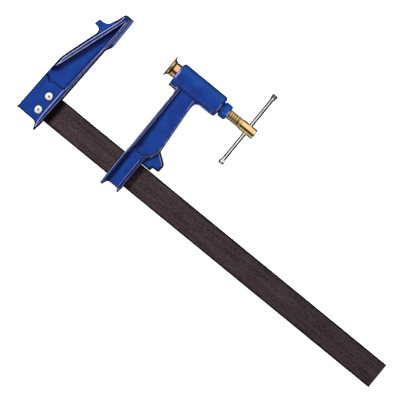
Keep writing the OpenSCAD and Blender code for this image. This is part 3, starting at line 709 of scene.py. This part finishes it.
def new_finish(name):
    """Empty material with its node tree and its shader."""
    made = bpy.data.materials.new(name)
    made.use_nodes = True
    return made, made.node_tree, made.node_tree.nodes["Principled BSDF"]


def node(tree, kind, inputs=None, **settings):
    """One shader node. An input that is a socket is linked, and any other is set."""
    made = tree.nodes.new("ShaderNode" + kind)
    for key, value in settings.items():
        setattr(made, key, value)
    for key, value in (inputs or {}).items():
        if isinstance(value, bpy.types.NodeSocket):
            tree.links.new(value, made.inputs[key])
        else:
            made.inputs[key].default_value = value
    return made


def grain(tree, size, detail=3.0, stretch=(1, 1, 1), rough=0.55):
    """Share from noise on object coordinates: blotches size metres across, longer along a small stretch."""
    place = node(tree, "TexCoord").outputs["Object"]
    stretched = node(tree, "Mapping", {"Vector": place, "Scale": stretch}).outputs["Vector"]
    noise = {"Vector": stretched, "Scale": 1 / size, "Detail": detail, "Roughness": rough}
    return node(tree, "TexNoise", noise).outputs["Fac"]


def spread(tree, share, low, high, first, last):
    """Share between low and high, carried over to the range from first to last."""
    ranges = {"Value": share, "From Min": low, "From Max": high, "To Min": first, "To Max": last}
    return node(tree, "MapRange", ranges).outputs["Result"]


def math_node(tree, kind, a, b):
    """One sum, product or other of two values."""
    return node(tree, "Math", {0: a, 1: b}, operation=kind).outputs[0]


def two_colours(tree, share, first, second):
    """Colour between two by a share."""
    def full(colour):
        return colour if isinstance(colour, bpy.types.NodeSocket) else (*colour, 1.0)

    return node(tree, "Mix", {0: share, 6: full(first), 7: full(second)}, data_type="RGBA").outputs[2]


def bumps(tree, height, depth, normal=None):
    """Normal of a height share that stands depth metres."""
    inputs = {"Height": height, "Distance": depth, "Strength": 1.0}
    if normal is not None:
        inputs["Normal"] = normal
    return node(tree, "Bump", inputs).outputs["Normal"]


def carried(tree, name):
    """Value that the mesh carries at its corners."""
    return node(tree, "Attribute", attribute_name=name, attribute_type="GEOMETRY").outputs["Fac"]


def enamel_paint(name, finish, colour):
    """Enamel over rough cast iron, clouded, from the shares that a painted mesh carries.

    Painted shade makes it deeper in hollows, on dark lands and on steep walls, which are matt too; painted
    highlights make it pale along edges, as does the wear of the clamping face.
    """
    made, tree, shader = new_finish(name)
    cloud = grain(tree, 0.014, 3.0)
    speck = grain(tree, 0.0013, 3.0)
    steep = carried(tree, "steep")
    # Painted shade in hollows, on the dark lands and on steep walls, and painted highlights along pale edges
    hollow = spread(tree, carried(tree, "filled"), 0.1, 0.7, 0.0, 0.7)
    land = spread(tree, carried(tree, "dark"), 0.2, 0.6, 0.65, 0.0)
    wall = spread(tree, steep, 0.3, 0.66, 0.0, 0.95)
    thin = math_node(tree, "MULTIPLY", spread(tree, carried(tree, "pale"), 0.45, 0.85, 1.0, 0.0),
                     spread(tree, speck, 0.3, 0.7, 0.6, 1.0))
    paint = two_colours(tree, spread(tree, cloud, 0.35, 0.65, 0.0, 0.35), colour, finish.enamel_cloud_and_shade)
    for share, second in ((hollow, finish.enamel_cloud_and_shade), (land, finish.enamel_painted_shade),
                          (wall, finish.enamel_painted_shade), (thin, finish.enamel_wear_and_highlight)):
        paint = two_colours(tree, share, paint, second)
    tree.links.new(paint, shader.inputs["Base Color"])
    matt = math_node(tree, "MAXIMUM", spread(tree, speck, 0.3, 0.7, 0.36, 0.5),
                     spread(tree, steep, 0.3, 0.66, 0.3, 1.0))
    tree.links.new(matt, shader.inputs["Roughness"])
    rough_cast = bumps(tree, grain(tree, 0.0045, 2.0), 0.00022)
    tree.links.new(bumps(tree, speck, 0.0001, rough_cast), shader.inputs["Normal"])
    shader.inputs["Specular IOR Level"].default_value = 0.14
    return made


def mill_scale(finish):
    """Dark scale of hot-rolled steel: fine mottle and faint streaks, painted shade on the edges and by the
    jaw.
    """
    made, tree, shader = new_finish("rail_mill_scale")
    mottle = grain(tree, 0.0021, 6.0, rough=0.7)
    streak = grain(tree, 0.003, 3.0, (0.05, 1, 1))
    patch = grain(tree, 0.03, 3.0)
    blend = math_node(tree, "ADD", math_node(tree, "MULTIPLY", mottle, 0.65),
                      math_node(tree, "ADD", math_node(tree, "MULTIPLY", streak, 0.25),
                                math_node(tree, "MULTIPLY", patch, 0.1)))
    paler = spread(tree, blend, 0.38, 0.64, 0.0, 1.0)
    mixed = two_colours(tree, paler, finish.scale_dark, finish.scale_pale)
    place = node(tree, "SeparateXYZ", {0: node(tree, "TexCoord").outputs["Object"]})
    from_middle = math_node(tree, "SUBTRACT", place.outputs["Y"], RAIL_MID * MM)
    across = math_node(tree, "ABSOLUTE", from_middle, 0.0)
    # Painted shade that blackens the rail's long edges
    half = RAIL_HALF_W * MM
    fade_from, black_from = half - 0.0026, half - 0.0014
    rim = spread(tree, across, fade_from, black_from, 0.0, 1.0)
    # Painted shadow that blackens the rail beside the jaw
    jaw_shadow_reach = 0.003
    jaw_shadow = spread(tree, place.outputs["X"], -jaw_shadow_reach, jaw_shadow_reach, 1.0, 0.0)
    black = math_node(tree, "MAXIMUM", rim, jaw_shadow)
    tree.links.new(two_colours(tree, black, mixed, (0.004, 0.003, 0.003)), shader.inputs["Base Color"])
    tree.links.new(spread(tree, mottle, 0.3, 0.7, 0.5, 0.72), shader.inputs["Roughness"])
    tree.links.new(bumps(tree, blend, 0.0002), shader.inputs["Normal"])
    shader.inputs["Specular IOR Level"].default_value = 0.06
    return made


def plated(name, colour, tarnish, rough, lay, lay_size=0.0005, metal=1.0, roots=None):
    """Plated metal: colour clouds towards the tarnish, and tool lines that follow the lay.

    Where the mesh carries a root share, the metal is rougher, and above a quarter also darker.
    """
    made, tree, shader = new_finish(name)
    cloud = grain(tree, 0.006, 4.0)
    lines = grain(tree, lay_size, 2.0, lay)
    mixed = two_colours(tree, spread(tree, cloud, 0.4, 0.75, 0.0, 0.6), colour, tarnish)
    polish = spread(tree, lines, 0.3, 0.7, rough * 0.75, rough * 1.3)
    if roots is not None:
        root = carried(tree, "root")
        mixed = two_colours(tree, spread(tree, root, 0.25, 1.0, 0.0, 1.0), mixed, roots)
        polish = math_node(tree, "ADD", polish, spread(tree, root, 0.0, 0.25, 0.0, 0.25))
    tree.links.new(mixed, shader.inputs["Base Color"])
    tree.links.new(polish, shader.inputs["Roughness"])
    tree.links.new(bumps(tree, lines, 0.00003), shader.inputs["Normal"])
    shader.inputs["Metallic"].default_value = metal
    return made


def floor_finish(finish):
    """Plain pale floor with the faintest cloud in it."""
    made, tree, shader = new_finish("studio_floor")
    pale = tuple(finish.floor)
    dim = tuple(0.97 * c for c in pale)
    tree.links.new(two_colours(tree, grain(tree, 0.4, 2.0), pale, dim), shader.inputs["Base Color"])
    shader.inputs["Roughness"].default_value = 0.9
    shader.inputs["Specular IOR Level"].default_value = 0.1
    shader.inputs["Emission Color"].default_value = (1.0, 1.0, 1.0, 1.0)
    shader.inputs["Emission Strength"].default_value = 0.95
    return made


# Pieces


class CLAMP_OT_castings(bpy.types.Operator):
    """Casts the fixed jaw and the sliding arm, painted"""

    bl_idname = "clamp.castings"
    bl_label = "Castings"

    def execute(self, context):
        sizes, finish = context.scene.clamp_sizes, context.scene.clamp_finish
        paint = enamel_paint("casting_blue_enamel", finish, finish.enamel)
        for name, body, field, low, high in (("fixed_jaw", "frame", jaw_field, JAW_LOW, JAW_HIGH),
                                             ("sliding_arm", "arm", arm_field, ARM_LOW, ARM_HIGH)):
            points, quads, shares = painted_net(field(sizes), low, high, sizes.cast_step / MM)
            piece = make_piece(name + "_casting", points, [quads], paint, CAST_SHARP, shares)
            settle(piece, body, name)
        return {"FINISHED"}


def rail_grid(edge_r):
    """Grid of the rail: a rectangle with rounded corners, carried along X and drawn in at the sawn end."""
    start, end, half_t = RAIL_LOW[0], RAIL_HIGH[0], RAIL_HALF_T
    section = rounded([[FAR, -half_t, edge_r], [NEAR, -half_t, edge_r], [NEAR, half_t, edge_r],
                       [FAR, half_t, edge_r]], 5)
    rows = 120
    even = np.linspace(start + 1, end - 0.5, rows)
    along = np.concatenate([[start], even, [end - 0.2, end - 0.05, end]])
    drawn_in = np.concatenate([[0.0], np.zeros(rows), [0.06, 0.2, 0.45]])
    inward = np.clip([RAIL_MID, 0.0] - section, -1, 1)
    across = section + drawn_in[:, None, None] * inward
    return np.concatenate([np.broadcast_to(along[:, None, None], (*across.shape[:2], 1)), across], -1)


class CLAMP_OT_rail(bpy.types.Operator):
    """Rolls the flat rail"""

    bl_idname = "clamp.rail"
    bl_label = "Rail"

    def execute(self, context):
        grid = rail_grid(context.scene.clamp_sizes.rail_edge / MM)
        piece = grid_piece("rail_bar", grid, mill_scale(context.scene.clamp_finish), TURNED_SHARP)
        settle(piece, "frame", "rail")
        return {"FINISHED"}


def rivet_grid(low, high):
    """Grid of a rivet with a head on both sides, and the root share of the punched dimple in each row.

    Over a head's dome, by the angle t, the height grows as the sine of t to the power 0.9, and the radius
    shrinks as its cosine to the power 0.55. Three shallow waves run round it.
    """
    middle = (low + high) / 2
    r, top = (high[0] - low[0]) / 2, high[2]
    seat, foot = JAW_HEAD_HALF, JAW_HEAD_HALF + 0.5
    shank_r, dimple_r, segments = 3.0, 1.6, 64
    waves_round, wave_share = 3, 0.012
    t = np.linspace(0, np.pi / 2, 18)
    dome = np.stack([foot + (top - foot) * np.sin(t) ** 0.9, r * np.cos(t) ** 0.55], 1)
    upper = np.vstack([[0.0, shank_r], [seat - 0.2, shank_r], [seat - 0.2, r], [seat + 0.25, r], dome[:-1],
                       [top, 1.9], [top - 0.25, 1.5], [top - 0.4, 0.9], [top - 0.42, TIP_R]])
    profile = np.vstack([upper[::-1] * [-1, 1], upper[1:]])
    grid = turned(profile, segments)
    waves = 1 + wave_share * np.sin(waves_round * angles(segments) + middle[1])
    grid = np.stack([grid[..., 1] * waves + middle[0], grid[..., 2] * waves + middle[1], grid[..., 0]], -1)
    return grid, np.where(profile[:, 1] < dimple_r, 1.0, 0.0)


class CLAMP_OT_rivets(bpy.types.Operator):
    """Sets the two domed rivets of the jaw"""

    bl_idname = "clamp.rivets"
    bl_label = "Rivets"

    def execute(self, context):
        # The punched dimple takes a dark root colour, a painted dark reflection on the bright dome
        bright = plated("rivet_bright_steel", context.scene.clamp_finish.steel, tarnish=(0.72, 0.67, 0.54),
                        rough=0.32, lay=(1, 1, 1), lay_size=0.0009, metal=0.35, roots=(0.12, 0.09, 0.06))
        for name in RIVET_NAMES:
            grid, punched = rivet_grid(*span(name))
            piece = grid_piece(name + "_head", grid, bright, TURNED_SHARP, punched)
            settle(piece, "frame", name)
        return {"FINISHED"}


class CLAMP_OT_nut(bpy.types.Operator):
    """Screws the hexagon nut into the barrel"""

    bl_idname = "clamp.nut"
    bl_label = "Spindle nut"

    def execute(self, context):
        finish = context.scene.clamp_finish
        points, quads, shares = painted_net(nut_field, NUT_LOW, NUT_HIGH, step=0.35)
        paint = enamel_paint("nut_blue_enamel", finish, finish.enamel_nut_lit)
        piece = make_piece("spindle_nut_hexagon", points, [quads], paint, CAST_SHARP, shares)
        settle(piece, "arm", "spindle_nut")
        return {"FINISHED"}


def plunger_grid(key_depth):
    """Grid of the plunger: a turned bar with a tenon in front, and the keyway pressed into its lower side.

    The keyway is a slot with a half-round front. A point of the skin in it is lifted to the keyway's floor.
    """
    r, tip, end = PLUNGER_HIGH[1], PLUNGER_LOW[0], PLUNGER_HIGH[0]
    shoulder = BARREL_X - 6.8
    button_r, neck_r, socket_r = 5.5, 3.5, 5.6
    off_ends, rows, segments = 1.6, 90, 240
    profile = eased([[tip, TIP_R, 0], [tip, button_r, 0.25], [tip + 0.5, button_r, 0.15],
                     [tip + 2.5, neck_r, 0.4], [shoulder - 0.65, neck_r, 0.3], [shoulder, r - 0.2, 0.3],
                     [shoulder + 0.7, r, 0.5], [end - 0.6, r, 0.5], [end, r - 0.8, 0.3], [end, socket_r, 0]])
    bar = np.linspace(shoulder + off_ends, end - off_ends, rows)
    front, back = np.searchsorted(profile[:, 0], bar[[0, -1]])
    profile = np.vstack([profile[:front], np.stack([bar, np.full(rows, r)], 1), profile[back:]])
    grid = turned(profile, segments)
    key_front, key_half, skin_r = 77.3, 2.65, 6.0
    x, y, z = np.moveaxis(grid, -1, 0)
    in_slot = np.hypot(np.minimum(x - key_front - key_half, 0), z) < key_half
    on_skin = (y < 0) & (np.hypot(y, z) > skin_r)
    grid[..., 1] = np.where(in_slot & on_skin, np.maximum(y, key_depth - r), y)
    return grid


class CLAMP_OT_plunger(bpy.types.Operator):
    """Turns the plunger with its keyway and the tenon that carries the pad"""

    bl_idname = "clamp.plunger"
    bl_label = "Plunger"

    def execute(self, context):
        grid = plunger_grid(context.scene.clamp_sizes.key_depth / MM)
        red_gold = plated("plunger_red_gold", context.scene.clamp_finish.copper, tarnish=(0.7, 0.33, 0.13),
                          rough=0.2, lay=(1, 0.02, 0.02))
        piece = grid_piece("plunger_bar", grid, red_gold, KEY_SHARP)
        settle(piece, "plunger", "plunger")
        return {"FINISHED"}


def spindle_grid(pitch, depth):
    """Grid of the spindle's grooved nose and its thread, and the root share of each point.

    The phase of a point is its place along the axis in pitches, less its angle in turns. The ridge stands
    round the middle of the phase, and its flanks rise as three squares less two cubes. It runs out at both
    ends, into a plain shank behind.
    """
    r, nose_r, groove_r, segments = 6.5, 5.5, 4.0, 96
    start, back = SPINDLE_LOW[0], PLUNGER_HIGH[0]
    groove_start, groove_end = start + 9.5, start + 12.7
    nose = eased([[start, TIP_R, 0], [start, 4.7, 0.2], [start + 0.8, nose_r, 0.2],
                  [groove_start, nose_r, 0.2], [groove_start, groove_r, 0.2], [groove_end, groove_r, 0.2],
                  [groove_end, nose_r, 0.2], [back + 1.5, nose_r, 0.2], [back + 2.5, r - depth, 0.2],
                  [back + 4, r - depth, 0]])
    first, shank = back + 4.2, SPINDLE_HEAD_X - 4.2
    shank_ridge, run_in, run = 0.75, 3.0, 0.8
    flank_foot, flank_top = 0.36, 0.2
    into_head, rows = 0.6, 620
    along = np.linspace(first, SPINDLE_HEAD_X + into_head, rows)[:, None]
    phase = (along / pitch - angles(segments) / (2 * np.pi)) % 1
    flank = between(np.abs(phase - 0.5), flank_foot, flank_top)
    run_out = between(along, first, first + run_in) * between(along, shank, shank - run)
    plain = shank_ridge * between(along, shank, shank + run)
    ridge = np.maximum((3 * flank ** 2 - 2 * flank ** 3) * run_out, plain)
    root = np.where(along < shank + run, 1 - 0.75 * ridge, 0.25)
    grid = np.concatenate([turned(nose, segments), round_axis(along, r - depth + depth * ridge, segments)])
    return grid, np.concatenate([np.zeros((len(nose), segments)), root])


class CLAMP_OT_spindle(bpy.types.Operator):
    """Cuts the spindle's thread and turns its head with the cross hole"""

    bl_idname = "clamp.spindle"
    bl_label = "Spindle"

    def execute(self, context):
        sizes, finish = context.scene.clamp_sizes, context.scene.clamp_finish
        grid, root = spindle_grid(sizes.thread_pitch / MM, sizes.thread_depth / MM)
        screw = grid.reshape(-1, 3)
        head_low = [SPINDLE_HEAD_X, *SPINDLE_LOW[1:]]
        head, quads = surface_net(spindle_head_field, head_low, SPINDLE_HIGH, step=0.3)
        faces = [*facing_out(screw, grid_faces(*grid.shape[:2])), quads + len(screw)]
        shares = {"root": np.concatenate([root.ravel(), np.zeros(len(head))])}
        zinc = plated("spindle_yellow_zinc", finish.gold, tarnish=(0.62, 0.42, 0.16), rough=0.2,
                      lay=(1, 0.02, 0.02), roots=finish.root)
        piece = make_piece("spindle_screw", np.concatenate([screw, head]), faces, zinc, THREAD_SHARP, shares)
        settle(piece, "spindle", "spindle")
        return {"FINISHED"}


def tommy_grid():
    """Grid of the tommy bar, a thin bar with upset ends turned round Y, and each row's share of painted
    shade.
    """
    low, high = TOMMY_LOW[1], TOMMY_HIGH[1]
    r, end_r = 2.7, TOMMY_HIGH[2]
    collar_r = end_r - 0.5
    # The upper end's share darkens it with painted shade
    end_shade_length, end_shade, segments = 4.9, 0.8, 64
    profile = eased([[low, TIP_R, 0], [low, end_r - 1.5, 0.5], [low + 1.2, end_r - 0.1, 1.2],
                     [low + 3.2, end_r, 1.5], [low + 6.8, r + 0.2, 3], [low + 9.5, r, 2], [0, r, 0],
                     [high - 7.4, r, 0.2], [high - 7.0, collar_r, 0.3], [high - 5.2, collar_r, 0.2],
                     [high - 4.8, end_r - 0.9, 0.15], [high - 4.3, end_r, 0.3], [high - 0.9, end_r, 0.6],
                     [high, end_r - 1.1, 0.5], [high, TIP_R, 0]], 5)
    x, y, z = np.moveaxis(turned(profile, segments), -1, 0)
    return np.stack([y + TOMMY_X, x, z], -1), np.where(profile[:, 0] > high - end_shade_length, end_shade, 0.0)


class CLAMP_OT_tommy(bpy.types.Operator):
    """Turns the tommy bar with its two upset ends"""

    bl_idname = "clamp.tommy"
    bl_label = "Tommy bar"

    def execute(self, context):
        grid, end_shade = tommy_grid()
        nickel = plated("tommy_bright_nickel", context.scene.clamp_finish.nickel, tarnish=(0.55, 0.49, 0.42),
                        rough=0.16, lay=(0.6, 0.03, 0.6), roots=(0.1, 0.06, 0.04))
        piece = grid_piece("tommy_bar_rod", grid, nickel, TURNED_SHARP, end_shade)
        settle(piece, "tommy", "tommy_bar")
        return {"FINISHED"}


def pad_grid():
    """Grid of the pad, a closed profile turned round X, and the root share of each row.

    The foot has two rings in its face, and the cone back a collar. The root share darkens the foot's edge,
    and darkens the collar with a painted shadow.
    """
    front, end, r = PAD_LOW[0], PAD_HIGH[0], PAD_HIGH[1]
    back = end - 0.7
    collar_r, bore_r, sink_r, ring_depth, ring_half = 9.9, 4.2, 6.2, 0.18, 0.4
    edge_w, edge_root, collar_l, segments = 1.2, 0.75, 1.06, 128
    face = [[front, sink_r, 0.2]]
    for ring_r in (8.0, 10.8):
        face += [[front, ring_r - ring_half, 0], [front + ring_depth, ring_r, 0],
                 [front, ring_r + ring_half, 0]]
    profile = rounded([*face, [front, r - 0.3, 0.2],
                       [front + 0.4, r, 0.25], [front + 1.8, r, 0.25], [front + 2.0, 11.2, 0.3],
                       [back - 1.1, 10.95, 0.2], [back - 1.0, collar_r, 0.1], [end, collar_r, 0.15],
                       [end, collar_r - 0.6, 0.15], [back, collar_r - 0.6, 0], [back, bore_r, 0.2],
                       [front + 3.4, bore_r, 0.2], [front + 1.4, sink_r, 0.2]], 4)
    on_edge, on_collar = profile[:, 1] > r - edge_w, profile[:, 0] > back - collar_l
    root = np.where(on_edge, edge_root, 0.0) + np.where(on_collar, 1.0, 0.0)
    return turned(profile, segments), root


class CLAMP_OT_pad(bpy.types.Operator):
    """Turns the pressure pad"""

    bl_idname = "clamp.pad"
    bl_label = "Pressure pad"

    def execute(self, context):
        grid, root = pad_grid()
        zinc = plated("pad_yellow_zinc", context.scene.clamp_finish.gold, tarnish=(0.6, 0.4, 0.15),
                      rough=0.3, lay=(1, 0.3, 0.3), roots=(0.06, 0.045, 0.015))
        piece = grid_piece("pressure_pad_disc", grid, zinc, TURNED_SHARP, root, ring=True)
        settle(piece, "pad", "pressure_pad")
        return {"FINISHED"}


class CLAMP_OT_pins(bpy.types.Operator):
    """Gives the guide pin and the holding pins, which keep their solids, a ground steel finish"""

    bl_idname = "clamp.pins"
    bl_label = "Pins"

    def execute(self, context):
        shade = 0.6
        steel = tuple(shade * c for c in context.scene.clamp_finish.steel)
        ground = plated("pin_ground_steel", steel, tarnish=(0.2, 0.19, 0.18), rough=0.3, lay=(0.3, 1, 0.3),
                        lay_size=0.0008)
        for name in PIN_NAMES:
            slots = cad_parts[name].data.materials
            slots.clear()
            slots.append(ground)
        return {"FINISHED"}


# Stage: the middle of the view, the width that the camera sees there, its turn and the floor's half width
VIEW_MIDDLE = Vector((0.2068, -0.1044, 0.0))
SEEN_WIDTH = 0.4976
VIEW_TURN = math.radians(39.3)
FLOOR_HALF = 12.0

# Lights: place from the middle of the view, width, height, power in watts and tint. A softbox lights the
# matt part of a finish alone, and a card shows in the glossy part alone
LIGHTS = {
    "key_softbox": ((-1.65, 0.3, 1.35), 0.52, 0.52, 69.0, (1.0, 0.98, 0.96)),
    "top_softbox": ((0.0, 0.0, 1.8), 2.4, 2.4, 5.0, (0.85, 0.7, 1.0)),
    "upper_softbox": ((-0.1, 1.9, 0.45), 1.6, 0.5, 26.0, (0.2, 1.0, 0.82)),
    "lower_softbox": ((0.1, -1.9, 0.4), 1.6, 0.5, 24.0, (1.0, 0.95, 0.9)),
    "upper_card": ((-0.3, 0.95, 1.05), 2.1, 3.1, 24.0, (1.0, 1.0, 1.0)),
    "lower_card": ((0.0, -2.0, 0.2), 3.0, 1.7, 13.0, (1.0, 1.0, 1.0)),
    "pad_upper_card": ((1.4, 1.3, 0.55), 1.6, 1.2, 10.0, (1.0, 1.0, 1.0)),
    "pad_lower_card": ((1.4, -1.3, 0.45), 1.6, 1.0, 8.0, (1.0, 1.0, 1.0)),
}


def lay_floor(scene):
    """Floor under the clamp, which neither tints the clamp nor shows in it."""
    low = CAD_BOX[0][2]
    corners = [(x * FLOOR_HALF, y * FLOOR_HALF, low) for x, y in ((-1, -1), (1, -1), (1, 1), (-1, 1))]
    mesh = bpy.data.meshes.new("floor")
    mesh.from_pydata(corners, [], [(0, 1, 2, 3)])
    mesh.materials.append(floor_finish(scene.clamp_finish))
    floor = bpy.data.objects.new("floor", mesh)
    floor.visible_diffuse = False
    floor.visible_glossy = False
    scene.collection.objects.link(floor)


def light_sky(scene):
    """Studio by height: dark under the horizon, and a dim violet fill from half way up."""
    world = scene.world or bpy.data.worlds.new("studio")
    scene.world = world
    world.use_nodes = True
    tree = world.node_tree
    sky = tree.nodes["Background"]
    way = node(tree, "TexCoord").outputs["Generated"]
    up = node(tree, "SeparateXYZ", {0: way}).outputs["Z"]
    horizon, half_way, dark, dim = 0.12, 0.45, 0.015, 0.09
    tree.links.new(spread(tree, up, horizon, half_way, dark, dim), sky.inputs["Strength"])
    sky.inputs["Color"].default_value = (0.62, 0.55, 1.0, 1.0)


def hang_lights(scene):
    """Area lights that face the middle of the view and stay out of the camera's sight."""
    for name, (place, wide, high, power, tint) in LIGHTS.items():
        light = bpy.data.lights.new(name, "AREA")
        light.shape = "RECTANGLE"
        light.size, light.size_y, light.energy, light.color = wide, high, power, tint
        lamp = bpy.data.objects.new(name, light)
        lamp.location = VIEW_MIDDLE + Vector(place)
        lamp.rotation_euler = (-Vector(place)).to_track_quat("-Z", "Y").to_euler()
        lamp.visible_camera = False
        lamp.visible_diffuse = name.endswith("softbox")
        lamp.visible_glossy = name.endswith("card")
        scene.collection.objects.link(lamp)


def set_camera(scene):
    """Camera straight over the middle of the view, as far off as its lens needs to see the width."""
    camera = bpy.data.cameras.new("camera")
    camera.sensor_width = 36.0
    camera.lens = scene.clamp_sizes.lens
    eye = bpy.data.objects.new("camera", camera)
    eye.location = VIEW_MIDDLE + Vector((0, 0, SEEN_WIDTH * camera.lens / camera.sensor_width))
    eye.rotation_euler = (0, 0, VIEW_TURN)
    scene.collection.objects.link(eye)
    scene.camera = eye


class CLAMP_OT_stage(bpy.types.Operator):
    """Sets the floor, the soft studio light and the camera over the clamp"""

    bl_idname = "clamp.stage"
    bl_label = "Stage"

    def execute(self, context):
        scene = context.scene
        scene.view_settings.view_transform = "Standard"
        lay_floor(scene)
        light_sky(scene)
        hang_lights(scene)
        set_camera(scene)
        return {"FINISHED"}


class CLAMP_PT_panel(bpy.types.Panel):
    """Sidebar panel that lists the pieces of the clamp"""

    bl_label = "Screw clamp"
    bl_idname = "CLAMP_PT_panel"
    bl_space_type = "VIEW_3D"
    bl_region_type = "UI"
    bl_category = "Clamp"

    def draw(self, context):
        column = self.layout.column(align=True)
        for operator in OPERATORS:
            column.operator(operator.bl_idname)
        for group in (context.scene.clamp_sizes, context.scene.clamp_finish):
            box = self.layout.box()
            for name in group.bl_rna.properties.keys():
                if name not in ("rna_type", "name"):
                    box.prop(group, name)


OPERATORS = (CLAMP_OT_stage, CLAMP_OT_castings, CLAMP_OT_rail, CLAMP_OT_rivets, CLAMP_OT_nut,
             CLAMP_OT_plunger, CLAMP_OT_spindle, CLAMP_OT_tommy, CLAMP_OT_pad, CLAMP_OT_pins)
CLASSES = (ClampSizes, ClampFinish, *OPERATORS, CLAMP_PT_panel)


def register():
    """Makes the classes known to Blender, with their settings on the scene."""
    for made in CLASSES:
        bpy.utils.register_class(made)
    bpy.types.Scene.clamp_sizes = bpy.props.PointerProperty(type=ClampSizes)
    bpy.types.Scene.clamp_finish = bpy.props.PointerProperty(type=ClampFinish)


def unregister():
    """Takes the settings and the classes away again."""
    del bpy.types.Scene.clamp_finish
    del bpy.types.Scene.clamp_sizes
    for made in reversed(CLASSES):
        bpy.utils.unregister_class(made)


def main():
    register()
    bpy.ops.clamp.stage()
    bpy.ops.clamp.castings()
    bpy.ops.clamp.rail()
    bpy.ops.clamp.rivets()
    bpy.ops.clamp.nut()
    bpy.ops.clamp.plunger()
    bpy.ops.clamp.spindle()
    bpy.ops.clamp.tommy()
    bpy.ops.clamp.pad()
    bpy.ops.clamp.pins()


if __name__ == "__main__":
    main()
